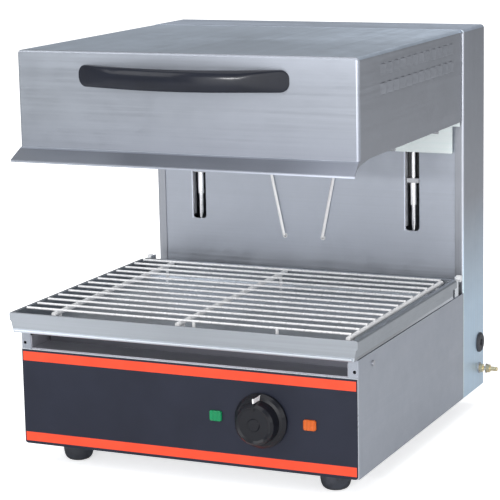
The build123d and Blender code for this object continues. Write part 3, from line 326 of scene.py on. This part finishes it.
def fascia():
    """Black overlay with an orange-red stripe along the top and the bottom edge."""
    n = Nodes("fascia")
    across = (-STRIPE_HALF_WIDTH, STRIPE_HALF_WIDTH)
    stripe = n.math("ADD", *(n.zone(x=across, z=heights) for heights in STRIPE_HEIGHTS))
    black = n.mix(n.spread(n.noise(9, 3, 0.6), 0, 1), shade(FASCIA_BLACK, 0.85), shade(FASCIA_BLACK, 1.2))
    red = n.mix(n.spread(n.noise(30, 3), 0, 1), shade(STRIPE_RED, 0.9), shade(STRIPE_RED, 1.08))
    n.colour(n.mix(stripe, black, red))
    n.roughness(n.spread(n.noise(26, 4, 0.7), 0.34, 0.50))
    n.bump(n.noise(900, 2), 0.06, 0.0002)
    n.fix(Specular_IOR_Level=0.22)
    return n.mat


def ceramic():
    """Unglazed ceramic, a little stained."""
    colour = (0.78, 0.76, 0.70)
    n = Nodes("ceramic")
    n.colour(n.mix(n.spread(n.noise(160, 4, 0.7), 0, 1), shade(colour, 0.88), colour))
    n.roughness(n.spread(n.noise(60, 3), 0.55, 0.75))
    n.bump(n.noise(900, 3), 0.12, 0.0002)
    return n.mat


def element_metal():
    """The heating elements' sheath, darkened by use."""
    n = Nodes("element_metal")
    n.colour(n.mix(n.spread(n.noise(28, 4, 0.7), 0, 1), (0.055, 0.045, 0.042), (0.16, 0.13, 0.12)))
    n.roughness(n.spread(n.noise(90, 3), 0.42, 0.65))
    n.bump(n.noise(520, 3), 0.15, 0.0002)
    n.fix(Metallic=0.6)
    return n.mat


def wool():
    """Mineral wool, with fibres mostly along the pad."""
    colour = (0.70, 0.66, 0.55)
    n = Nodes("mineral_wool")
    fibres = n.noise(1.0, 4, 0.7, n.stretch((500, 120, 300)))
    n.colour(n.mix(n.spread(fibres, 0, 1), shade(colour, 0.7), shade(colour, 1.1)))
    n.roughness(n.spread(fibres, 0.85, 1.0))
    n.bump(fibres, 0.6, 0.002)
    return n.mat


def braid():
    """The bright braided sleeve of the element leads."""
    colour = (0.97, 0.97, 0.98)
    n = Nodes("steel_braid")
    wave = n.bands("Z", 260, 1.5)
    n.colour(n.mix(wave, shade(colour, 0.92), shade(colour, 1.05)))
    n.roughness(n.spread(n.noise(200, 2), 0.30, 0.45))
    n.bump(wave, 0.2, 0.0003)
    n.fix(Metallic=0.1)
    return n.mat


# ------------------------------------------------------------------ where a steel gets painted light or shade
FOLD_LOW, FOLD_HIGH = HEAD_BOTTOM - 0.0007, HEAD_BOTTOM + 0.0012
LIP = {"z": (-FAR, FOLD_LOW)}
LIP_HEM = {"z": (-FAR, LIP_BOTTOM + 0.0020)}
LIP_FOLD = {"z": (FOLD_LOW, FOLD_HIGH)}
HEAD_CORNER = {"x": (0.2198, FAR), "z": (FOLD_HIGH, FAR)}
TOP_FACE = {"z": (0.5185, FAR)}

TOWER_SIDE = {"x": (0.2235, FAR)}
TOWER_EDGE = {"x": (0.2222, FAR), "y": (-FAR, 0.1528)}
BEHIND_PANEL = {"y": (0.1524, FAR)}
SLOT_X = 0.157  # half the space between the two slots
SLOT_HALF_WIDTH, SLOT_HEIGHTS = 0.010, (0.253, 0.495)


def slot_edge(side):
    """The narrow strip along the left edge of one of the tower's slots, where a highlight is painted."""
    edge = LIFT_X + side * SLOT_X - SLOT_HALF_WIDTH
    return {"x": (edge - 0.0016, edge + 0.0002), "z": SLOT_HEIGHTS}


APRON_FACE = {"z": (-FAR, 0.1798), "y": (-FAR, -0.2508)}
APRON_AND_RIM = {"z": (-FAR, 0.1990), "y": (-FAR, -0.2508)}
PAN_FLOOR = {"z": (-FAR, 0.1785), "y": (-0.2505, FAR)}
PAN_WALLS = {"z": (0.1785, 0.1995), "y": (-0.2505, FAR), "x": (-0.2255, 0.2255)}
INSIDE_TOWER = {"y": (0.1605, FAR)}
DIAL_MARK = {
    "x": (DIAL_MIDDLE.x - 0.0013, DIAL_MIDDLE.x + 0.0013),
    "z": (DIAL_MIDDLE.z + 0.0265, DIAL_MIDDLE.z + 0.0322),
}

# ------------------------------------------------------------------ looks
PANEL = (0.375, 0.400, 0.452)
SIDE = (0.355, 0.371, 0.410)
BRIGHT = (0.74, 0.77, 0.81)
WHITE_PAINT = (0.85, 0.86, 0.88)

LOOKS = {
    # head front: painted light and shade. The steel is a darker copy of PANEL, darker towards the bottom and
    # the left and lighter at the top. The lip under the fold is in painted shade that lightens to the right.
    # Painted highlights sit on the hem, the fold and the right-hand corner.
    "head_front": steel(
        "steel_head_front", shade(PANEL, 0.86), 0.42, streak=0.06,
        painted_light_fades=(("z", 0.455, 0.405, (0.93, 0.93, 0.95)), ("x", 0.05, -0.22, (0.96, 0.97, 0.96)),
               ("z", 0.485, 0.522, 1.20)),
        painted_light_zones=((LIP, 0.74), (LIP, 1.5, "x", 0.06, 0.20), (LIP_HEM, 1.9), (LIP_FOLD, 1.25),
               (HEAD_CORNER, 1.55))),
    # head cover: painted light on the top face, cooler and lighter, more so towards the back and the right.
    "head_cover": steel(
        "steel_head_cover", SIDE, 0.42, "y", streak=0.06,
        painted_light_zones=((TOP_FACE, (1.17, 1.27, 1.33)), (TOP_FACE, 1.42, "y", -0.06, 0.15),
               (TOP_FACE, 1.14, "x", 0.02, 0.20))),
    "front_grain": steel("steel_front", PANEL, 0.42),
    "gusset": steel("steel_gusset", SIDE, 0.42, "y", streak=0.06),
    # tower panel: a lighter copy of PANEL, darker towards both sides. Painted light sits on the flanges seen
    # through the slots, and a painted highlight runs along each slot's left edge.
    "tower_panel": steel(
        "steel_tower_panel", shade(PANEL, 1.27), 0.46, streak=0.06,
        painted_light_fades=(("x", -0.02, -0.22, 0.84), ("x", 0.06, 0.20, 0.93)),
        painted_light_zones=((BEHIND_PANEL, 2.2), (slot_edge(-1), 1.7), (slot_edge(1), 1.7))),
    "side_grain": steel("steel_side", PANEL, 0.42, "y", streak=0.07),
    # tower cover: painted light on the sides, lighter and bluer towards the bottom. A painted highlight runs
    # along the front bend, and painted light sits on the top face.
    "upright_grain": steel(
        "steel_upright", SIDE, 0.42, "z",
        painted_light_zones=((TOWER_SIDE, (1.45, 1.72, 1.84), "z", 0.30, 0.15), (TOWER_EDGE, 1.6),
               (TOP_FACE, (1.45, 1.55, 1.65)))),
    # pan: painted light on the apron's face, and on the apron and rim towards the left. The floor under the
    # head is in painted shade that lightens towards the back and the left. The walls are darker with painted
    # shade.
    "pan": steel(
        "steel_pan", (0.350, 0.375, 0.408), 0.38, "x", 0.9, 0.09,
        painted_light_zones=((APRON_FACE, 1.5), (APRON_AND_RIM, 1.32, "x", 0.0, -0.20), (PAN_FLOOR, (0.86, 0.85, 0.84)),
               (PAN_FLOOR, 1.9, "y", -0.12, 0.09), (PAN_FLOOR, 1.4, "x", 0.0, -0.20), (PAN_WALLS, 0.75))),
    "tray_steel": steel("steel_tray", (0.52, 0.52, 0.57), 0.5, "x", 0.8, 0.12),
    # drip tray wall: its dark steel is painted shade for a front that sits deep in its slot. It is darker
    # towards the left and lighter towards the right.
    "tray_wall": steel(
        "steel_tray_wall_painted_shade", (0.150, 0.152, 0.175), 0.5, "x", 0.8, 0.12,
        painted_light_fades=(("x", 0.0, -0.20, 0.62), ("x", 0.05, 0.20, 1.3))),
    "bright_x": steel("bright_x", BRIGHT, 0.30, "x", 0.9, 0.07),
    "bright_y": steel("bright_y", BRIGHT, 0.30, "y", 0.9, 0.07),
    # shield: near-white, cyan and barely metallic. This is a painted reflection of the white surroundings in
    # the polished plate.
    "shield": steel("steel_shield_painted_reflection", (0.90, 1.0, 1.0), 0.40, "x", 0.25, 0.05),
    "zinc": steel("zinc", (0.45, 0.46, 0.49), 0.45, "z", 0.9, 0.12),
    # arm steel: painted shade, almost black, on the parts inside the tower.
    "arm_steel": steel("arm_steel", (0.50, 0.51, 0.54), 0.40, "z", 0.9, painted_light_zones=((INSIDE_TOWER, 0.12),)),
    "chrome": plated("chrome", (0.92, 0.92, 0.94)),
    # wire and bars: near-white and barely metallic. This is a painted reflection standing in for the chrome's
    # bright shine.
    "wire": plated("wire", (0.98, 0.98, 0.99), 0.24, metallic=0.15),
    "brass": plated("brass", (0.86, 0.74, 0.48), 0.22, edge=0.0003),
    "bar": plastic("bright_bar", (0.97, 0.97, 0.98), 0.30, 0.4, 0.1),
    "black_gloss": plastic("black_gloss", (0.010, 0.012, 0.020), 0.40, 0.32, 0.16, shine=0.12),
    "black_matte": plastic("black_matte", (0.018, 0.019, 0.024), 0.42, shine=0.3),
    "knob": plastic("knob_black", (0.008, 0.009, 0.013), 0.38, 0.30, 0.12, ((DIAL_MARK, WHITE_PAINT),), 0.15),
    "nylon": plastic("nylon", (0.85, 0.86, 0.88), 0.45),
    "rubber": rubber("rubber", (0.030, 0.032, 0.040)),
    "foot": rubber("foot_rubber", (0.024, 0.027, 0.036), 0.12),
    "green": lens("green_lens", (0.002, 0.34, 0.12), (0.001, 0.11, 0.045)),
    "orange": lens("orange_lens", (0.78, 0.16, 0.02), (0.36, 0.06, 0.008)),
    "fascia": fascia(),
    "element": element_metal(),
    "ceramic": ceramic(),
    "wool": wool(),
    "braid": braid(),
}

NODE_LOOK = {
    "base_body": "side_grain",
    # Only the front panel's top flange shows. Its bright steel is a painted highlight along that edge.
    "front_panel": "bright_x",
    "control_fascia": "fascia",
    "tray_deck": "tray_steel",
    "tray_runners": "tray_steel",
    "pan_glides": "nylon",
    "pan_stops": "bright_y",
    "stop_rollers": "nylon",
    "tower_cover": "upright_grain",
    "tower_front_panel": "tower_panel",
    "rear_cover": "front_grain",
    "rear_screws": "zinc",
    "base_side_screws": "zinc",
    "lower_crossmember": "zinc",
    "upper_crossmember": "zinc",
    "guide_shafts": "chrome",
    "counterbalance_springs": "zinc",
    "lead_bushings": "nylon",
    "element_leads": "braid",
    "energy_regulator": "black_matte",
    "green_lamp": "green",
    "orange_lamp": "orange",
    "lamp_housings": "black_matte",
    "cable_grommet": "rubber",
    "earth_stud": "brass",
    "earth_nuts": "brass",
    "earth_washers": "zinc",
    "terminal_block": "ceramic",
    "feet": "rubber",
    "foot_bolts": "zinc",
    "head_cover": "head_cover",
    "head_front_panel": "head_front",
    "head_rear_panel": "shield",
    "reflector": "bright_x",
    "heating_elements": "element",
    "element_bushes": "ceramic",
    "element_hangers": "zinc",
    "insulation_pad": "wool",
    "handle": "black_gloss",
    "handle_screws": "zinc",
    "head_side_screws": "zinc",
    "lead_glands": "black_matte",
    "head_arms": "arm_steel",
    "carriage_plate": "arm_steel",
    "carriage_bushes": "chrome",
    "drip_tray": "tray_wall",
    "grill_pan": "pan",
    "wire_rack": "wire",
    "rack_bars": "bar",
    "rack_legs": "wire",
    "knob": "knob",
    "control_shaft": "brass",
}

for node_name, cad in frame["nodes"].items():
    look = LOOKS[NODE_LOOK[node_name]]
    if not cad.material_slots:
        cad.data.materials.append(look)
    for material_slot in cad.material_slots:
        material_slot.material = look


# ------------------------------------------------------------------ mesh helpers
def piece(name, bm, look, body=None, smooth=True):
    """Make an object of the mesh. One without a body is left unattached."""
    mesh = bpy.data.meshes.new(name)
    bmesh.ops.recalc_face_normals(bm, faces=bm.faces)
    bm.to_mesh(mesh)
    bm.free()
    for polygon in mesh.polygons:
        polygon.use_smooth = smooth
    obj = bpy.data.objects.new(name, mesh)
    scene.collection.objects.link(obj)
    mesh.materials.append(LOOKS[look])
    if body:
        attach(obj, body)
    return obj


def circle(count):
    """The cosine and sine at each of count even steps of a turn."""
    angles = [2 * math.pi * i / count for i in range(count)]
    return [(math.cos(angle), math.sin(angle)) for angle in angles]


def skin(bm, rings, closed=False):
    """Join equal rings with quads. A closed skin returns to its first ring, and an open one gets end caps."""
    pairs = list(zip(rings, rings[1:]))
    if closed:
        pairs.append((rings[-1], rings[0]))
    for a, b in pairs:
        for k in range(len(a)):
            j = (k + 1) % len(a)
            bm.faces.new((a[k], a[j], b[j], b[k]))
    if not closed:
        bm.faces.new(rings[0])
        bm.faces.new(list(reversed(rings[-1])))


def lathe(bm, profile, place, turns=56):
    """Turn (radius, height) points about an upright line through place."""
    rings = []
    for radius, height in profile:
        points = [place + Vector((radius * c, radius * s, height)) for c, s in circle(turns)]
        rings.append([bm.verts.new(point) for point in points])
    skin(bm, rings)


def aligned(ring, other):
    """The other ring, started where its points lie nearest to the ring's."""
    count = len(ring)

    def miss(start):
        return sum((ring[k].co - other[(k + start) % count].co).length for k in range(count))

    start = min(range(count), key=miss)
    return other[start:] + other[:start]


def tube(bm, path, wide, deep, around=12):
    """Sweep an oval along a list of points.

    Wide is its half width, level and across the path, and deep is its other half width.
    """
    rings = []
    for i, point in enumerate(path):
        ahead = (path[min(i + 1, len(path) - 1)] - path[max(i - 1, 0)]).normalized()
        over = Vector((0, 1, 0)) if abs(ahead.y) < 0.7 else Vector((0, 0, 1))
        side = ahead.cross(over).normalized()
        up = side.cross(ahead)
        ring = [bm.verts.new(point + side * (wide * c) + up * (deep * s)) for c, s in circle(around)]
        rings.append(aligned(rings[-1], ring) if rings else ring)
    skin(bm, rings)


def rounded(points, radius, steps=7):
    """The points of a path with its corners rounded."""
    path = [points[0]]
    for before, corner, after in zip(points, points[1:], points[2:]):
        start = corner + (before - corner).normalized() * radius
        end = corner + (after - corner).normalized() * radius
        for i in range(steps + 1):
            t = i / steps
            path.append(start * (1 - t) ** 2 + corner * (2 * t * (1 - t)) + end * t ** 2)
    path.append(points[-1])
    return path


def divided(path, step):
    """The same path with points at most about one step apart."""
    fine = []
    for a, b in zip(path, path[1:]):
        count = max(1, int((b - a).length / step))
        fine += [a.lerp(b, i / count) for i in range(count)]
    return fine + [path[-1]]


# ------------------------------------------------------------------ pieces made here
FOOT_PROFILE_MM = (
    (9.0, 0), (11.5, 0.2), (13.8, 1.2), (15.8, 3.0), (17.3, 5.6), (18.3, 9.0), (18.9, 13.0), (19.3, 18.0),
    (19.5, 22.4), (19.0, 23.0), (19.0, 23.8), (19.8, 24.4), (19.95, 25.2), (19.95, 28.6), (19.4, 29.0))


def make_feet():
    """Moulded rubber feet: a broad rounded sole, a cup wall and a shoulder ring under the housing."""
    bm = bmesh.new()
    profile = [(radius / 1000, height / 1000) for radius, height in FOOT_PROFILE_MM]
    for x, y in FOOT_PLACES:
        lathe(bm, profile, Vector((x, y, 0)))
    feet = piece("moulded_feet", bm, "foot", "chassis")
    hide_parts("feet")


make_feet()

HANDLE_END_RADIUS = 0.011
GRIP_HALF, GRIP_RISE = 0.104, 0.022  # the finger gap behind the bow
FOOT_START, FOOT_BLEND = 0.085, 0.03  # where the rounded bow turns into its flat-sided feet
BOW_EXPONENT, FOOT_EXPONENT = 2.5, 5.5  # how square the section is: 2 is an ellipse
THINNEST = 0.0004


def signed_power(value, power):
    return math.copysign(abs(value) ** power, value)


def limited(value):
    return max(0.0, min(1.0, value))


def bow(x, half, rise):
    """How far a bow of the given half span and rise stands out at x."""
    radius = (half * half + rise * rise) / (2 * rise)
    return rise - (radius - math.sqrt(max(0.0, radius * radius - x * x)))


def make_handle():
    """A moulded bow handle with a rounded section and broad round-ended feet on the panel."""
    bm = bmesh.new()
    half = HANDLE_HIGH.x
    half_height = (HANDLE_HIGH.z - HANDLE_LOW.z) / 2
    middle_z = (HANDLE_HIGH.z + HANDLE_LOW.z) / 2
    steps = 72
    rings = []
    for i in range(steps + 1):
        x = half * math.sin(math.pi / 2 * (2 * i / steps - 1)) * 0.9995
        out = bow(x, half, HANDLE_HIGH.y - HANDLE_LOW.y)
        inner = bow(x, GRIP_HALF, GRIP_RISE) if abs(x) < GRIP_HALF else 0.0
        over = max(0.0, abs(x) - (half - HANDLE_END_RADIUS))
        tall = half_height - (HANDLE_END_RADIUS - math.sqrt(max(0.0, HANDLE_END_RADIUS ** 2 - over * over)))
        into_foot = limited((abs(x) - FOOT_START) / FOOT_BLEND)
        power = 2 / (BOW_EXPONENT + (FOOT_EXPONENT - BOW_EXPONENT) * into_foot)
        middle, deep = (out + inner) / 2, max(THINNEST, (out - inner) / 2)
        ring = []
        for c, s in circle(40):
            y = HEAD_FRONT_Y - middle + deep * signed_power(c, power)
            z = middle_z + tall * signed_power(s, power)
            ring.append(bm.verts.new((x, min(y, HEAD_FRONT_Y), z)))
        rings.append(ring)
    skin(bm, rings)
    handle = piece("bow_handle", bm, "black_gloss", "head")
    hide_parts("handle")


make_handle()

LIP_OUT, LIP_DROP = 0.0202, 0.0122
SPLAY, SPLAY_DEPTH, SPLAY_REACH = 0.003, 0.0124, 0.02  # how the ends spread towards the lip's tip
GUSSET_LENGTH, GUSSET_POINTS = 0.046, 12


def make_lip_gussets():
    """Sheet ends that close the flared lip and sweep up into the side's lower edge."""
    tip_y, tip_z = HEAD_FRONT_Y - LIP_OUT, HEAD_BOTTOM - LIP_DROP
    outline = [(HEAD_FRONT_Y + 0.001, HEAD_BOTTOM + 0.0005), (tip_y, tip_z)]
    for i in range(1, GUSSET_POINTS + 1):
        t = i / GUSSET_POINTS
        y = tip_y + (GUSSET_LENGTH + HEAD_FRONT_Y - tip_y) * t
        outline.append((y, tip_z + LIP_DROP * math.sin(t * math.pi / 2) ** 0.8))
    for name, side in (("lip_gusset_left", -1), ("lip_gusset_right", 1)):
        bm = bmesh.new()
        inner, outer = [], []
        for y, z in outline:
            down = max(0.0, (HEAD_BOTTOM - z) / SPLAY_DEPTH)
            forward = limited((HEAD_FRONT_Y + 0.004 - y) / SPLAY_REACH)
            lean = SPLAY * down * forward
            inner.append(bm.verts.new((side * (HEAD_INSIDE_X + lean), y, z)))
            outer.append(bm.verts.new((side * (HEAD_INSIDE_X + SHEET + lean), y, z)))
        skin(bm, (inner, outer))
        piece(name, bm, "gusset", "head", smooth=False)


make_lip_gussets()

RING_RADIUS = 0.0008
RING_SETBACK = 0.0019  # from the back of the dial to the middle of its bright ring


def make_dial_ring():
    """A thin bright ring on the rim of the dial's skirt."""
    bm = bmesh.new()
    middle_y = DIAL_HIGH.y - RING_SETBACK
    rings = []
    for turn_c, turn_s in circle(72):
        ring = []
        for c, s in circle(10):
            reach = DIAL_RADIUS - RING_RADIUS + RING_RADIUS * c
            x, z = DIAL_MIDDLE.x + reach * turn_c, DIAL_MIDDLE.z + reach * turn_s
            ring.append(bm.verts.new((x, middle_y + RING_RADIUS * s, z)))
        rings.append(ring)
    skin(bm, rings, closed=True)
    piece("knob_rim", bm, "chrome", "knob")


make_dial_ring()

END_INSET = 0.0002  # keeps an end inside the CAD's own end
LEADS_LOW, LEADS_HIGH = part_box("element_leads")
CAD_LEAD_RADIUS, BUSHING_RADIUS = 0.0023, 0.005
LEAD_LOW_Z, LEAD_HIGH_Z = LEADS_LOW.z + CAD_LEAD_RADIUS, LEADS_HIGH.z - CAD_LEAD_RADIUS
LEAD_LOW_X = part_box("lead_bushings")[1].x - BUSHING_RADIUS - LIFT_X  # half the space between the two leads
LEAD_HIGH_X = LEADS_HIGH.x - CAD_LEAD_RADIUS - LIFT_X
LEAD_BACK_Y, LEAD_FRONT_Y = LEADS_HIGH.y - END_INSET, LEADS_LOW.y + END_INSET
LEAD_Y = 0.1496  # in the gap between the head and the tower
LEAD_BEND = 0.0024
LEAD_HALF_WIDTH, LEAD_HALF_DEPTH = 0.0022, 0.00135


def make_leads():
    """Sleeved leads from the tower to the head."""
    bm = bmesh.new()
    for side in (-1, 1):
        low_x, high_x = LIFT_X + side * LEAD_LOW_X, LIFT_X + side * LEAD_HIGH_X
        corners = (
            Vector((low_x, LEAD_BACK_Y, LEAD_LOW_Z)), Vector((low_x, LEAD_Y, LEAD_LOW_Z)),
            Vector((high_x, LEAD_Y, LEAD_HIGH_Z)), Vector((high_x, LEAD_FRONT_Y, LEAD_HIGH_Z)))
        tube(bm, divided(rounded(corners, LEAD_BEND), 0.006), LEAD_HALF_WIDTH, LEAD_HALF_DEPTH)
    leads = piece("sleeved_leads", bm, "braid")
    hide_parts("element_leads")
    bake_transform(leads)


make_leads()

SPRINGS_LOW, SPRINGS_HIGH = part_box("counterbalance_springs")
CAD_SPRING_RADIUS = 0.007
SPRING_X = SPRINGS_HIGH.x - CAD_SPRING_RADIUS - LIFT_X  # half the space between the two springs
SPRING_Y = (SPRINGS_LOW.y + SPRINGS_HIGH.y) / 2
SPRING_LOW_Z, SPRING_HIGH_Z = SPRINGS_LOW.z + END_INSET, SPRINGS_HIGH.z - END_INSET
SPRING_HOOK = 0.0102
HOOK_LEAD_IN = 0.003  # from a hook's straight end to the first turn
SPRING_PITCH = 0.0034
SPRING_RADIUS, SPRING_WIRE_RADIUS = 0.0058, 0.0009
STEPS_PER_TURN = 16
TAPER_STEPS = 8  # the first and last steps, where a coil widens from its hook


def make_springs():
    """Wound counterbalance springs with straight hooks."""
    wound_low, wound_high = SPRING_LOW_Z + SPRING_HOOK, SPRING_HIGH_Z - SPRING_HOOK
    wound = wound_high - wound_low
    turns = wound / SPRING_PITCH
    steps = int(turns * STEPS_PER_TURN)
    bm = bmesh.new()
    for side in (-1, 1):
        x = LIFT_X + side * SPRING_X
        path = [Vector((x, SPRING_Y, SPRING_LOW_Z)), Vector((x, SPRING_Y, wound_low - HOOK_LEAD_IN))]
        for i in range(steps + 1):
            angle = 2 * math.pi * turns * i / steps
            reach = SPRING_RADIUS * min(1.0, i / TAPER_STEPS, (steps - i) / TAPER_STEPS)
            z = wound_low + wound * i / steps
            path.append(Vector((x + reach * math.cos(angle), SPRING_Y + reach * math.sin(angle), z)))
        path += [Vector((x, SPRING_Y, wound_high + HOOK_LEAD_IN)), Vector((x, SPRING_Y, SPRING_HIGH_Z))]
        tube(bm, path, SPRING_WIRE_RADIUS, SPRING_WIRE_RADIUS, 6)
    springs = piece("coil_springs", bm, "zinc")
    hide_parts("counterbalance_springs")
    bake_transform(springs)


make_springs()

# ------------------------------------------------------------------ light, floor and backdrop
# Each light: name, place, the point it faces, width and height in metres, watts.
LIGHTS = (
    ("key_left", (-2.2, -2.4, 2.0), (0, 0, 0.3), (2.4, 2.0), 44),
    ("top_soft", (0.2, -0.2, 2.8), (0, 0, 0.4), (3.0, 3.0), 46),
    ("right_fill", (2.8, -0.8, 1.2), (0, 0, 0.25), (2.0, 2.0), 21),
    ("front_fill", (0.9, -3.4, 0.6), (0, 0, 0.25), (3.4, 1.6), 38),
    ("spark", (0.34, -3.2, 0.86), (0.05, -0.25, 0.45), (0.42, 0.11), 22),
)
ROOM_COLOUR = (0.93, 0.96, 1.0, 1)
ROOM_LIGHT = 0.33
WHITE = (1, 1, 1, 1)
FLOOR_HALF = 9


def make_lights():
    for name, place, target, size, power in LIGHTS:
        data = bpy.data.lights.new(name, "AREA")
        data.shape = "RECTANGLE"
        data.size, data.size_y = size
        data.energy = power
        lamp = bpy.data.objects.new(name, data)
        lamp.location = place
        lamp.rotation_euler = (Vector(target) - Vector(place)).to_track_quat("-Z", "Y").to_euler()
        scene.collection.objects.link(lamp)


make_lights()


def make_world():
    """A white backdrop for the camera, and a dimmer, cooler room for everything else."""
    world = bpy.data.worlds.new("studio")
    world.use_nodes = True
    scene.world = world
    tree = world.node_tree
    tree.nodes.clear()
    out = tree.nodes.new("ShaderNodeOutputWorld")
    mixer = tree.nodes.new("ShaderNodeMixShader")
    path = tree.nodes.new("ShaderNodeLightPath")
    tree.links.new(path.outputs["Is Camera Ray"], mixer.inputs[0])
    for index, colour, strength in ((1, ROOM_COLOUR, ROOM_LIGHT), (2, WHITE, 1.0)):
        background = tree.nodes.new("ShaderNodeBackground")
        background.inputs[0].default_value = colour
        background.inputs[1].default_value = strength
        tree.links.new(background.outputs[0], mixer.inputs[index])
    tree.links.new(mixer.outputs[0], out.inputs[0])


make_world()


def floor_material():
    """White floor that brightens into the backdrop with distance and keeps the shadow near the feet."""
    n = Nodes("floor_white")
    n.colour(n.mix(n.spread(n.noise(2.5, 2), 0, 1), (0.93, 0.93, 0.93), (0.96, 0.96, 0.96)))
    n.fix(Roughness=0.9, Specular_IOR_Level=0.1)
    away = n.add("ShaderNodeVectorMath", operation="LENGTH")
    n.link(n.coords, away.inputs[0])
    brighter = n.spread(away.outputs["Value"], 0.62, 1.0, 0.4, 1.6)
    path = n.add("ShaderNodeLightPath")
    glow = n.add("ShaderNodeEmission")
    glow.inputs[0].default_value = WHITE
    n.link(n.math("MULTIPLY", path.outputs["Is Camera Ray"], brighter), glow.inputs[1])
    both = n.add("ShaderNodeAddShader")
    n.link(n.bsdf.outputs[0], both.inputs[0])
    n.link(glow.outputs[0], both.inputs[1])
    n.link(both.outputs[0], n.tree.nodes["Material Output"].inputs["Surface"])
    return n.mat


def make_floor():
    mesh = bpy.data.meshes.new("floor")
    bm = bmesh.new()
    bmesh.ops.create_grid(bm, x_segments=4, y_segments=4, size=FLOOR_HALF)
    bm.to_mesh(mesh)
    bm.free()
    floor = bpy.data.objects.new("floor", mesh)
    scene.collection.objects.link(floor)
    mesh.materials.append(floor_material())


make_floor()
